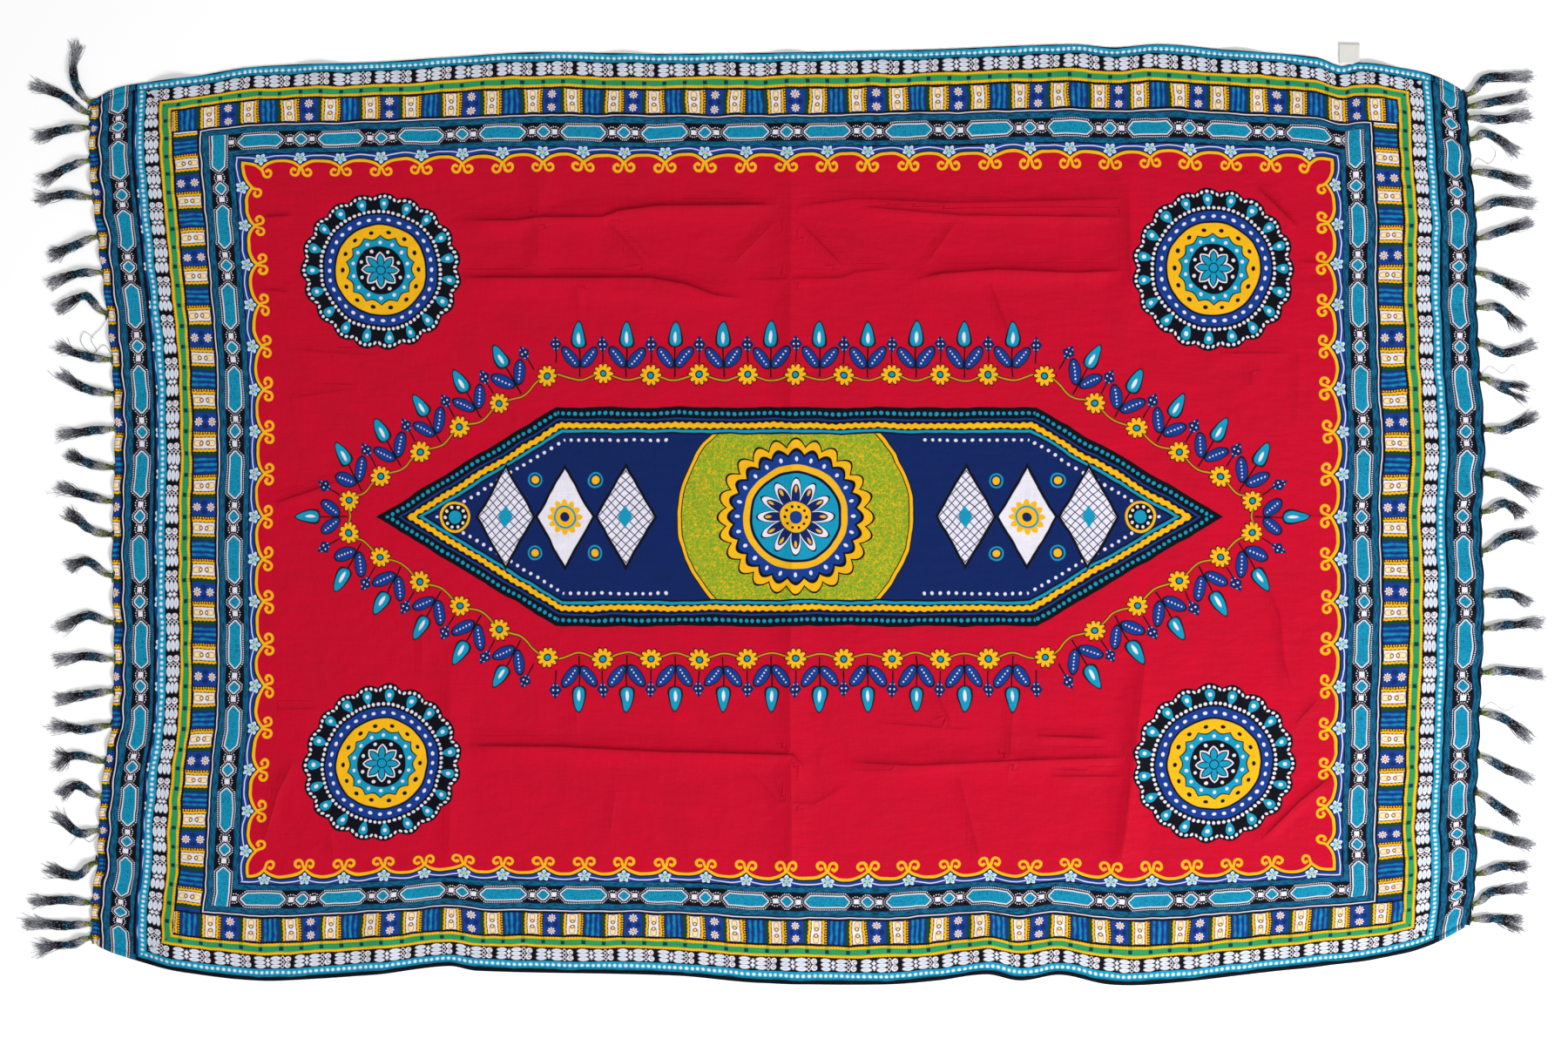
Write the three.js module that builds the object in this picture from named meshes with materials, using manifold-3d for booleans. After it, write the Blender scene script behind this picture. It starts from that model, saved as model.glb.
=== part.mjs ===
// A sarong laid flat: one length of printed rayon with a narrow rolled hem on each long
// edge, a header strip with hand-twisted tassels on each end, and a small blank tape label.
// Millimetres, +Z up. X runs along the cloth from end to end, Y across it from hem to hem,
// and z = 0 is the surface that it lies on.
//
// A point of the flat cut is (u, v). The cloth has crept in at its corners and ends since it
// was cut, so laid(u, v) gives where that point lies, and lift(u, v) how high it stands.

import * as THREE from "three";
import Module from "manifold-3d";
import { mergeVertices } from "three/addons/utils/BufferGeometryUtils.js";

// ---- Driving dimensions ----

const HALF_LENGTH = 840; // half of the cut, along X
const HALF_WIDTH = 575; // half of the cut, along Y
const CLOTH_WALL = 1.2;
const SEAM_GAP = 0.3;

const HEM_WIDTH = 6;
const HEM_HEIGHT = 2.4;

const HEADER_WIDTH = 6;
const HEADER_HEIGHT = 1.4;

const END_DRAW_FROM = 200; // from here outwards the ends draw in, along X
const SIDE_DRAW_FROM = 230; // from here outwards the long edges draw in, along Y
const DRAW_POWER = 1.5;

const RIPPLE_RISE = 3.4; // a full pucker between two tassels
const RIPPLE_BULGE = 3; // how far it pushes the edge out
const RIPPLE_RUN = 85; // how far it runs in from the edge
const RIPPLE_PITCH = 42; // the usual room between two tassels

const COLUMN_COUNT = 38;
const END_COLUMNS = [10, 26, 52, 90]; // distances in from an end
const ROW_COUNT = 53;

const STRAND_FLOOR = 0.4; // strands end this far above the surface
const NECK = { run: 13, sunk: 3 };
const LOCK_SHORTENING = 0.04; // a step in the uneven lengths of a tassel's locks

const LABEL = { at: 681, width: 25, reach: 25, wall: 1, slot: 0.5, turn: -1.5 };

// How far each edge lies inside the cut. at: the place along that edge of the cut.
const BACK_DRAW = [
  { at: -840, inset: 75 },
  { at: -810, inset: 58 },
  { at: -770, inset: 50 },
  { at: -720, inset: 44 },
  { at: -640, inset: 31 },
  { at: -490, inset: 25 },
  { at: -400, inset: 19 },
  { at: -300, inset: 13 },
  { at: -140, inset: 15 },
  { at: 160, inset: 10 },
  { at: 350, inset: 3 },
  { at: 400, inset: 7 },
  { at: 460, inset: 3 },
  { at: 540, inset: 10 },
  { at: 650, inset: 19 },
  { at: 683, inset: 30 },
  { at: 706, inset: 26 },
  { at: 756, inset: 32 },
  { at: 800, inset: 42 },
  { at: 840, inset: 63 },
];
const FRONT_DRAW = [
  { at: -840, inset: 65 },
  { at: -810, inset: 51 },
  { at: -735, inset: 30 },
  { at: -640, inset: 18 },
  { at: -570, inset: 20 },
  { at: -490, inset: 26 },
  { at: -405, inset: 36 },
  { at: -370, inset: 30 },
  { at: -130, inset: 24 },
  { at: -30, inset: 15 },
  { at: 120, inset: 13 },
  { at: 185, inset: 18 },
  { at: 245, inset: 26 },
  { at: 285, inset: 18 },
  { at: 335, inset: 25 },
  { at: 395, inset: 13 },
  { at: 460, inset: 14 },
  { at: 585, inset: 28 },
  { at: 665, inset: 37 },
  { at: 720, inset: 44 },
  { at: 790, inset: 62 },
  { at: 840, inset: 88 },
];
const LEFT_DRAW = [
  { at: -575, inset: 6 },
  { at: -500, inset: 7 },
  { at: -450, inset: 13 },
  { at: -380, inset: 16 },
  { at: -305, inset: 22 },
  { at: -250, inset: 31 },
  { at: -150, inset: 34 },
  { at: -52, inset: 32 },
  { at: 20, inset: 33 },
  { at: 100, inset: 35 },
  { at: 190, inset: 31 },
  { at: 277, inset: 22 },
  { at: 375, inset: 12 },
  { at: 465, inset: 4 },
  { at: 575, inset: 5 },
];
const RIGHT_DRAW = [
  { at: -575, inset: 14 },
  { at: -495, inset: 8 },
  { at: -440, inset: 6 },
  { at: -385, inset: 8 },
  { at: -300, inset: 4 },
  { at: -210, inset: 1 },
  { at: -110, inset: -3 },
  { at: 0, inset: 0 },
  { at: 88, inset: -4 },
  { at: 180, inset: 2 },
  { at: 295, inset: 7 },
  { at: 370, inset: 6 },
  { at: 430, inset: 11 },
  { at: 500, inset: 15 },
  { at: 575, inset: 19 },
];

// Soft ridges left by the way it was folded away, across and along the cloth, and buckles
// where an edge draws in.
// from and to are places on the cut, rise is the height at the middle, spread the half width.
const FOLDS = [
  { from: [8, -575], to: [6, 575], rise: 2.4, spread: 30 },
  { from: [414, 190], to: [410, 480], rise: 3.2, spread: 30 },
  { from: [436, -150], to: [404, -470], rise: 3.2, spread: 30 },
  { from: [-296, 250], to: [-294, 450], rise: 2, spread: 28 },
  { from: [-404, -150], to: [-404, -460], rise: 1.8, spread: 28 },
  { from: [-400, 361], to: [-5, 382], rise: 2.8, spread: 26 },
  { from: [60, 380], to: [430, 370], rise: 2.2, spread: 28 },
  { from: [-400, 290], to: [-40, 270], rise: 2.8, spread: 26 },
  { from: [140, 292], to: [430, 302], rise: 2.4, spread: 26 },
  { from: [-400, -274], to: [30, -288], rise: 2.8, spread: 26 },
  { from: [70, -300], to: [430, -290], rise: 2.2, spread: 26 },
  { from: [-740, 575], to: [-700, 400], rise: 4.4, spread: 36 },
  { from: [-560, 575], to: [-548, 455], rise: 2.8, spread: 34 },
  { from: [-190, 575], to: [-184, 480], rise: 2.4, spread: 36 },
  { from: [560, 575], to: [545, 440], rise: 3, spread: 36 },
  { from: [725, 575], to: [690, 410], rise: 4.2, spread: 36 },
  { from: [-745, -575], to: [-708, -420], rise: 4.2, spread: 36 },
  { from: [-490, -575], to: [-478, -450], rise: 3.2, spread: 34 },
  { from: [245, -575], to: [240, -455], rise: 3.4, spread: 34 },
  { from: [640, -575], to: [612, -430], rise: 3.6, spread: 36 },
  { from: [770, -575], to: [735, -440], rise: 4.4, spread: 36 },
];

// One row for each tassel, from front to back. at: its root's place along the laid end (Y).
// The middle and the tip lie so far out from the end and so far along it from the root.
// split: how far the two halves of a parted tip lie from each other.
const LEFT_TASSELS = [
  { at: -502, midOut: 24, midAlong: -7, tipOut: 68, tipAlong: -6, split: -14 },
  { at: -486, midOut: 41, midAlong: -2, tipOut: 82, tipAlong: 1, split: 0 },
  { at: -461, midOut: 30, midAlong: 3, tipOut: 74, tipAlong: 2, split: 0 },
  { at: -412, midOut: 28, midAlong: -17, tipOut: 64, tipAlong: -9, split: 0 },
  { at: -375, midOut: 26, midAlong: -4, tipOut: 56, tipAlong: 18, split: 0 },
  { at: -335, midOut: 33, midAlong: 14, tipOut: 53, tipAlong: 2, split: 0 },
  { at: -293, midOut: 36, midAlong: 8, tipOut: 63, tipAlong: -9, split: 20 },
  { at: -249, midOut: 36, midAlong: -5, tipOut: 75, tipAlong: -1, split: 0 },
  { at: -208, midOut: 34, midAlong: -4, tipOut: 72, tipAlong: -10, split: 0 },
  { at: -170, midOut: 37, midAlong: 4, tipOut: 73, tipAlong: -1, split: 0 },
  { at: -126, midOut: 35, midAlong: 9, tipOut: 70, tipAlong: -7, split: 0 },
  { at: -70, midOut: 35, midAlong: 18, tipOut: 58, tipAlong: 12, split: 0 },
  { at: -20, midOut: 30, midAlong: 6, tipOut: 58, tipAlong: 28, split: 0 },
  { at: 20, midOut: 34, midAlong: 7, tipOut: 70, tipAlong: 17, split: 0 },
  { at: 61, midOut: 35, midAlong: 5, tipOut: 60, tipAlong: 17, split: 0 },
  { at: 108, midOut: 35, midAlong: -3, tipOut: 70, tipAlong: -8, split: 0 },
  { at: 150, midOut: 37, midAlong: 6, tipOut: 68, tipAlong: 24, split: 0 },
  { at: 191, midOut: 33, midAlong: 4, tipOut: 68, tipAlong: 9, split: 12 },
  { at: 246, midOut: 30, midAlong: 22, tipOut: 63, tipAlong: 5, split: 0 },
  { at: 296, midOut: 33, midAlong: -1, tipOut: 67, tipAlong: -13, split: 0 },
  { at: 339, midOut: 30, midAlong: -10, tipOut: 60, tipAlong: -22, split: 0 },
  { at: 385, midOut: 34, midAlong: 4, tipOut: 70, tipAlong: -3, split: 0 },
  { at: 429, midOut: 30, midAlong: -8, tipOut: 60, tipAlong: -24, split: 0 },
  { at: 468, midOut: 32, midAlong: -2, tipOut: 66, tipAlong: -12, split: 0 },
  { at: 484, midOut: 38, midAlong: 22, tipOut: 73, tipAlong: 34, split: 0 },
  { at: 496, midOut: 25, midAlong: 33, tipOut: 21, tipAlong: 71, split: 0 },
];
const RIGHT_TASSELS = [
  { at: -480, midOut: 32, midAlong: 1, tipOut: 66, tipAlong: -2, split: -11 },
  { at: -463, midOut: 25, midAlong: 14, tipOut: 70, tipAlong: 20, split: 0 },
  { at: -427, midOut: 38, midAlong: 10, tipOut: 66, tipAlong: 8, split: 0 },
  { at: -375, midOut: 29, midAlong: -6, tipOut: 72, tipAlong: -19, split: 0 },
  { at: -330, midOut: 33, midAlong: -18, tipOut: 54, tipAlong: -34, split: 0 },
  { at: -286, midOut: 34, midAlong: -14, tipOut: 68, tipAlong: -30, split: 0 },
  { at: -234, midOut: 32, midAlong: -7, tipOut: 65, tipAlong: -33, split: 0 },
  { at: -186, midOut: 29, midAlong: 3, tipOut: 77, tipAlong: -4, split: 0 },
  { at: -133, midOut: 31, midAlong: 4, tipOut: 75, tipAlong: 7, split: 0 },
  { at: -93, midOut: 35, midAlong: 2, tipOut: 61, tipAlong: -10, split: 0 },
  { at: -40, midOut: 33, midAlong: 17, tipOut: 68, tipAlong: 21, split: 0 },
  { at: 7, midOut: 32, midAlong: 11, tipOut: 54, tipAlong: -4, split: 0 },
  { at: 54, midOut: 26, midAlong: -3, tipOut: 69, tipAlong: -25, split: 0 },
  { at: 107, midOut: 29, midAlong: 0, tipOut: 65, tipAlong: 17, split: 0 },
  { at: 169, midOut: 25, midAlong: -8, tipOut: 60, tipAlong: -12, split: -13 },
  { at: 210, midOut: 35, midAlong: -11, tipOut: 70, tipAlong: 0, split: 0 },
  { at: 254, midOut: 30, midAlong: 0, tipOut: 58, tipAlong: -25, split: 0 },
  { at: 296, midOut: 31, midAlong: -8, tipOut: 65, tipAlong: -25, split: 0 },
  { at: 336, midOut: 30, midAlong: 8, tipOut: 70, tipAlong: 19, split: 0 },
  { at: 371, midOut: 30, midAlong: 9, tipOut: 73, tipAlong: 7, split: 0 },
  { at: 416, midOut: 33, midAlong: -3, tipOut: 73, tipAlong: -14, split: 0 },
  { at: 454, midOut: 23, midAlong: 8, tipOut: 62, tipAlong: -17, split: 0 },
  { at: 480, midOut: 38, midAlong: -2, tipOut: 78, tipAlong: 1, split: 0 },
  { at: 493, midOut: 38, midAlong: 6, tipOut: 74, tipAlong: 12, split: 0 },
  { at: 506, midOut: 27, midAlong: 20, tipOut: 79, tipAlong: 22, split: 0 },
];

// ---- Curves through the tables ----

// A smooth line through the rows' insets, with a slope at each row taken from its neighbours.
function drawCurve(rows) {
  const slopes = rows.map((row, i) => {
    const before = rows[Math.max(i - 1, 0)];
    const after = rows[Math.min(i + 1, rows.length - 1)];
    return (after.inset - before.inset) / (after.at - before.at);
  });
  return (at) => {
    const place = THREE.MathUtils.clamp(at, rows[0].at, rows[rows.length - 1].at);
    let i = 0;
    while (i < rows.length - 2 && place > rows[i + 1].at) i += 1;
    const step = rows[i + 1].at - rows[i].at;
    const t = (place - rows[i].at) / step;
    const fromStart = (1 + 2 * t) * (1 - t) ** 2 * rows[i].inset + t * (1 - t) ** 2 * step * slopes[i];
    const fromEnd = t * t * (3 - 2 * t) * rows[i + 1].inset + t * t * (t - 1) * step * slopes[i + 1];
    return fromStart + fromEnd;
  };
}

const backDraw = drawCurve(BACK_DRAW);
const frontDraw = drawCurve(FRONT_DRAW);
const leftDraw = drawCurve(LEFT_DRAW);
const rightDraw = drawCurve(RIGHT_DRAW);

const growing = (distance, from, to) => Math.max(0, (distance - from) / (to - from)) ** DRAW_POWER;

// Where a long edge puts v once it has drawn in.
function laidAcross(u, v) {
  const draw = v < 0 ? frontDraw(u) : backDraw(u);
  return v - Math.sign(v) * draw * growing(Math.abs(v), SIDE_DRAW_FROM, HALF_WIDTH);
}

// The v whose laid place at one end is y, found by halving.
function cutPlace(end, y) {
  let low = -HALF_WIDTH;
  let high = HALF_WIDTH;
  for (let halving = 0; halving < 40; halving += 1) {
    const middle = (low + high) / 2;
    if (laidAcross(end * HALF_LENGTH, middle) < y) low = middle;
    else high = middle;
  }
  return low;
}

const ENDS = {
  left: { side: -1, draw: leftDraw, tassels: LEFT_TASSELS },
  right: { side: 1, draw: rightDraw, tassels: RIGHT_TASSELS },
};
for (const end of Object.values(ENDS)) {
  end.roots = end.tassels.map((row) => cutPlace(end.side, row.at));
}

// 0 at each tassel and past the outer ones, up to about 1 halfway between two tassels.
function pucker(end, v) {
  const after = end.roots.findIndex((root) => root > v);
  if (after < 1) return 0;
  const room = end.roots[after] - end.roots[after - 1];
  const phase = (v - end.roots[after - 1]) / room;
  return Math.min(room / RIPPLE_PITCH, 1.2) * Math.sin(Math.PI * phase) ** 2;
}

// 1 at the very end, fading to 0 at the ripples' inner limit.
function nearEnd(u) {
  const inwards = (HALF_LENGTH - Math.abs(u)) / RIPPLE_RUN;
  return inwards >= 1 ? 0 : (1 - inwards) ** 2;
}

function laid(u, v) {
  const end = u < 0 ? ENDS.left : ENDS.right;
  const inset = end.draw(v) * growing(Math.abs(u), END_DRAW_FROM, HALF_LENGTH);
  const bulge = RIPPLE_BULGE * pucker(end, v) * nearEnd(u) ** 2;
  return new THREE.Vector2(u - end.side * (inset - bulge), laidAcross(u, v));
}

// The height of one soft ridge at (u, v): a raised cosine across it, fading at both tips.
function ridge(fold, u, v) {
  const [u0, v0] = fold.from;
  const [u1, v1] = fold.to;
  const run = Math.hypot(u1 - u0, v1 - v0);
  const along = ((u - u0) * (u1 - u0) + (v - v0) * (v1 - v0)) / run;
  const aside = Math.abs((u - u0) * (v1 - v0) - (v - v0) * (u1 - u0)) / run;
  if (aside >= fold.spread || along < 0 || along > run) return 0;
  const across = 0.5 + 0.5 * Math.cos((Math.PI * aside) / fold.spread);
  const startsAtEdge = Math.abs(v0) >= HALF_WIDTH;
  const endsAtEdge = Math.abs(v1) >= HALF_WIDTH;
  const tip = Math.min(0.35 * run, 90);
  const fadeIn = startsAtEdge ? 1 : Math.min(along / tip, 1);
  const fadeOut = endsAtEdge ? 1 : Math.min((run - along) / tip, 1);
  return fold.rise * across * Math.sin((Math.PI / 2) * fadeIn) * Math.sin((Math.PI / 2) * fadeOut);
}

function lift(u, v) {
  const end = u < 0 ? ENDS.left : ENDS.right;
  const ridges = FOLDS.reduce((highest, fold) => Math.max(highest, ridge(fold, u, v)), 0);
  return Math.max(ridges, RIPPLE_RISE * pucker(end, v) * nearEnd(u));
}

// ---- Closed solids from rings and grids ----

function solidGeometry(points, triangles) {
  let sixVolumes = 0;
  for (const [a, b, c] of triangles) {
    sixVolumes += points[a].dot(new THREE.Vector3().crossVectors(points[b], points[c]));
  }
  const facingOut = sixVolumes > 0 ? triangles : triangles.map(([a, b, c]) => [a, c, b]);
  const geometry = new THREE.BufferGeometry();
  const places = points.flatMap((point) => point.toArray());
  geometry.setAttribute("position", new THREE.Float32BufferAttribute(places, 3));
  geometry.setIndex(facingOut.flat());
  return geometry;
}

// The band between a ring whose points start at first and the ring after it.
function band(first, around) {
  return Array.from({ length: around }, (_, k) => {
    const a = first + k;
    const b = first + ((k + 1) % around);
    return [[a, b, b + around], [a, b + around, a + around]];
  }).flat();
}

// A ring's own closing face, seen from in front of it, or from behind where it is the first.
function lid(first, around, facesBack) {
  return Array.from({ length: around - 2 }, (_, k) => {
    return facesBack ? [first, first + k + 2, first + k + 1] : [first, first + k + 1, first + k + 2];
  });
}

// Rings of equally many points, joined one to the next and closed at both ends.
function loft(rings) {
  const around = rings[0].length;
  const last = (rings.length - 1) * around;
  const triangles = [...lid(0, around, true), ...lid(last, around, false)];
  for (let first = 0; first < last; first += around) triangles.push(...band(first, around));
  return solidGeometry(rings.flat(), triangles);
}

// A loft whose last face has a hole for each branch, with the branches growing from them.
// outline and holes are that face in its own plane, in the order of the rings' points.
function branchingLoft(trunk, branches, outline, holes) {
  const around = trunk[0].length;
  const rim = (trunk.length - 1) * around;
  const points = trunk.flat();
  const facePoints = outline.map((_, k) => rim + k);
  const triangles = lid(0, around, true);
  for (let first = 0; first < rim; first += around) triangles.push(...band(first, around));
  for (const rings of branches) {
    const thin = rings[0].length;
    const start = points.length;
    const last = start + (rings.length - 1) * thin;
    facePoints.push(...rings[0].map((_, k) => start + k));
    for (let first = start; first < last; first += thin) triangles.push(...band(first, thin));
    triangles.push(...lid(last, thin, false));
    points.push(...rings.flat());
  }
  const face = THREE.ShapeUtils.triangulateShape(outline, holes);
  triangles.push(...face.map((corners) => corners.map((corner) => facePoints[corner])));
  return solidGeometry(points, triangles);
}

// A wall over a grid of floor points: its underside at each point's height, its face above.
function wall(columns, thickness) {
  const rows = columns[0].length;
  const layer = columns.length * rows;
  const under = columns.flat();
  const over = under.map((point) => point.clone().setZ(point.z + thickness));
  const triangles = [];
  const panel = (a, b, c, d) => triangles.push([a, b, c], [a, c, d]);
  for (let column = 0; column < columns.length - 1; column += 1) {
    for (let row = 0; row < rows - 1; row += 1) {
      const a = column * rows + row;
      const b = a + rows;
      panel(a, a + 1, b + 1, b);
      panel(layer + a, layer + b, layer + b + 1, layer + a + 1);
    }
  }
  const rim = [];
  for (let column = 0; column < columns.length; column += 1) rim.push(column * rows);
  for (let row = 1; row < rows; row += 1) rim.push((columns.length - 1) * rows + row);
  for (let column = columns.length - 2; column >= 0; column -= 1) rim.push(column * rows + rows - 1);
  for (let row = rows - 2; row > 0; row -= 1) rim.push(row);
  rim.forEach((a, k) => {
    const b = rim[(k + 1) % rim.length];
    panel(a, b, layer + b, layer + a);
  });
  return solidGeometry([...under, ...over], triangles);
}

const wasm = await Module();
wasm.setup();

function toManifold(geometry) {
  const merged = mergeVertices(geometry);
  return new wasm.Manifold(
    new wasm.Mesh({
      numProp: 3,
      vertProperties: new Float32Array(merged.getAttribute("position").array),
      triVerts: new Uint32Array(merged.getIndex().array),
    }),
  );
}

function fuse(geometries) {
  const joined = geometries.map(toManifold).reduce((all, one) => all.add(one));
  const mesh = joined.getMesh();
  const geometry = new THREE.BufferGeometry();
  geometry.setAttribute("position", new THREE.BufferAttribute(mesh.vertProperties, 3));
  geometry.setIndex(new THREE.BufferAttribute(mesh.triVerts, 1));
  return geometry;
}

// ---- The cloth's grid ----

const CLOTH_U = HALF_LENGTH - HEADER_WIDTH - SEAM_GAP;
const CLOTH_V = HALF_WIDTH - HEM_WIDTH - SEAM_GAP;

// Splits the widest space again and again until there are enough places.
function filledTo(count, places) {
  const sorted = [...places].sort((a, b) => a - b);
  while (sorted.length < count) {
    let widest = 1;
    for (let i = 2; i < sorted.length; i += 1) {
      if (sorted[i] - sorted[i - 1] > sorted[widest] - sorted[widest - 1]) widest = i;
    }
    sorted.splice(widest, 0, (sorted[widest] + sorted[widest - 1]) / 2);
  }
  return sorted;
}

const CROSS_FOLDS = [-404, -295, 7, 413];
const COLUMNS = filledTo(COLUMN_COUNT, [
  ...[0, ...END_COLUMNS].flatMap((inwards) => [inwards - CLOTH_U, CLOTH_U - inwards]),
  ...CROSS_FOLDS.flatMap((u) => [u - 26, u, u + 26]),
  ...[-20, 4].map((aside) => LABEL.at + aside),
]);

for (const end of Object.values(ENDS)) {
  end.rows = filledTo(ROW_COUNT, [-CLOTH_V, ...end.roots, CLOTH_V]);
}

// Row lines run from a place on the left end to the matching place on the right end.
function rowPlace(row, u) {
  const across = (u + CLOTH_U) / (2 * CLOTH_U);
  return THREE.MathUtils.lerp(ENDS.left.rows[row], ENDS.right.rows[row], across);
}

function place(u, v) {
  const { x, y } = laid(u, v);
  return new THREE.Vector3(x, y, lift(u, v));
}

const gridPoint = (column, row) => place(COLUMNS[column], rowPlace(row, COLUMNS[column]));

function clothGeometry() {
  const columns = COLUMNS.map((_, column) => {
    return Array.from({ length: ROW_COUNT }, (__, row) => gridPoint(column, row));
  });
  return wall(columns, CLOTH_WALL);
}

// ---- Strips along the edges ----

// The floor directions at each point of an edge: out leaves the cloth, and one step of it
// moves a point by 1 mm square to the edge however the edge slants.
function edgeSteps(points, outwards) {
  return points.map((point, i) => {
    const before = points[Math.max(i - 1, 0)];
    const after = points[Math.min(i + 1, points.length - 1)];
    const along = new THREE.Vector3(after.x - before.x, after.y - before.y, 0).normalize();
    const square = Math.abs(outwards.x * along.y - outwards.y * along.x);
    return outwards.clone().divideScalar(square);
  });
}

// Sections with their corners given as shares of the strip's width and height.
const ROLLED = [
  { out: 0, up: 0 },
  { out: 1, up: 0 },
  { out: 1, up: 0.55 },
  { out: 0.7, up: 1 },
  { out: 0.15, up: 1 },
  { out: 0, up: 0.8 },
];
const FLAT = [
  { out: 0, up: 0 },
  { out: 1, up: 0 },
  { out: 1, up: 1 },
  { out: 0, up: 1 },
];

function strip(points, steps, section, width, height) {
  return loft(
    points.map((point, i) => {
      return section.map((corner) => {
        const moved = point.clone().addScaledVector(steps[i], SEAM_GAP + corner.out * width);
        return moved.setZ(point.z + corner.up * height);
      });
    }),
  );
}

function longEdge(side) {
  const row = side < 0 ? 0 : ROW_COUNT - 1;
  const points = COLUMNS.map((_, column) => gridPoint(column, row));
  return { points, steps: edgeSteps(points, new THREE.Vector3(0, side, 0)) };
}

function hemGeometry(side) {
  const { points, steps } = longEdge(side);
  return strip(points, steps, ROLLED, HEM_WIDTH, HEM_HEIGHT);
}

// The end of the cloth, carried on past both hems so that the header covers them too.
function endEdge(end) {
  const column = end.side < 0 ? 0 : COLUMNS.length - 1;
  const points = end.rows.map((_, row) => gridPoint(column, row));
  for (const side of [-1, 1]) {
    const edge = longEdge(side);
    const corner = edge.points[column].clone();
    corner.addScaledVector(edge.steps[column], SEAM_GAP + HEM_WIDTH);
    if (side < 0) points.unshift(corner);
    else points.push(corner);
  }
  return { points, steps: edgeSteps(points, new THREE.Vector3(end.side, 0, 0)) };
}

// ---- Tassels ----

// The rings of a tassel, at shares of its route: the neck ends at 1/3, the middle is at 2/3.
const NECK_RINGS = [
  { t: 0, width: 8, height: 5.2 },
  { t: 1 / 3, width: 13, height: 7 },
];
const LOCK_RINGS = [
  { t: 1 / 3, pitch: 3.1, width: 2.6, height: 5.2 },
  { t: 2 / 3, pitch: 4.5, width: 4.1, height: 4.6 },
  { t: 1, pitch: 4.6, width: 3, height: 2.5 },
];

// The locks of one tassel. aside: in pitches from its middle line. rise: how far the root of
// the lock stands above the neck's underside.
const LANES = [
  { aside: -1.5, rise: 0.6 },
  { aside: -0.5, rise: 1.4 },
  { aside: 0.5, rise: 0.9 },
  { aside: 1.5, rise: 1.2 },
];

// One tassel: a short neck sunk into the header, and locks that lie side by side.
function tasselGeometry(end, row, number) {
  const root = place(end.side * CLOTH_U, end.roots[number]);
  const start = root.x + end.side * (SEAM_GAP + HEADER_WIDTH - NECK.sunk);
  const route = (split) => {
    const spots = [
      [0, 0],
      [NECK.run, (0.5 * row.midAlong * NECK.run) / row.midOut],
      [row.midOut, row.midAlong],
      [row.tipOut, row.tipAlong + split],
    ];
    const points = spots.map(([out, along]) => {
      return new THREE.Vector3(start + end.side * out, root.y + along, 0);
    });
    return new THREE.CatmullRomCurve3(points, false, "centripetal");
  };
  const section = (curve, t, corners) => {
    const heading = curve.getTangent(t);
    const aside = new THREE.Vector3(-heading.y, heading.x, 0).normalize();
    return corners.map(({ x, y }) => {
      return curve.getPoint(t).addScaledVector(aside, x).setZ(STRAND_FLOOR + y);
    });
  };
  const neckCorners = ({ width, height }) => [
    new THREE.Vector2(-0.5 * width, 0),
    new THREE.Vector2(0.5 * width, 0),
    new THREE.Vector2(0.4 * width, height),
    new THREE.Vector2(-0.4 * width, height),
  ];
  const lockCorners = ({ pitch, width, height }, aside, bottom) => [
    new THREE.Vector2(aside * pitch - 0.5 * width, bottom),
    new THREE.Vector2(aside * pitch + 0.5 * width, bottom),
    new THREE.Vector2(aside * pitch, bottom + height),
  ];

  const main = route(0);
  const neck = NECK_RINGS.map((ring) => section(main, ring.t, neckCorners(ring)));
  const holes = LANES.map(({ aside, rise }) => lockCorners(LOCK_RINGS[0], aside, rise));
  const locks = LANES.map(({ aside }, lane) => {
    const parted = aside * end.side * row.split > 0;
    const curve = route(parted ? row.split : 0);
    const tip = 1 - LOCK_SHORTENING * ((lane * 3 + number * 2) % 5);
    const outer = LOCK_RINGS.slice(1).map((ring) => {
      return section(curve, Math.min(ring.t, tip), lockCorners(ring, aside, 0));
    });
    return [section(main, LOCK_RINGS[0].t, holes[lane]), ...outer];
  });
  return branchingLoft(neck, locks, neckCorners(NECK_RINGS[1]), holes);
}

function fringeGeometry(end) {
  const edge = endEdge(end);
  const header = strip(edge.points, edge.steps, FLAT, HEADER_WIDTH, HEADER_HEIGHT);
  const tassels = end.tassels.map((row, number) => tasselGeometry(end, row, number));
  return fuse([header, ...tassels]);
}

// ---- The label: a tape folded end to end, its two layers caught at the back hem ----

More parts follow.
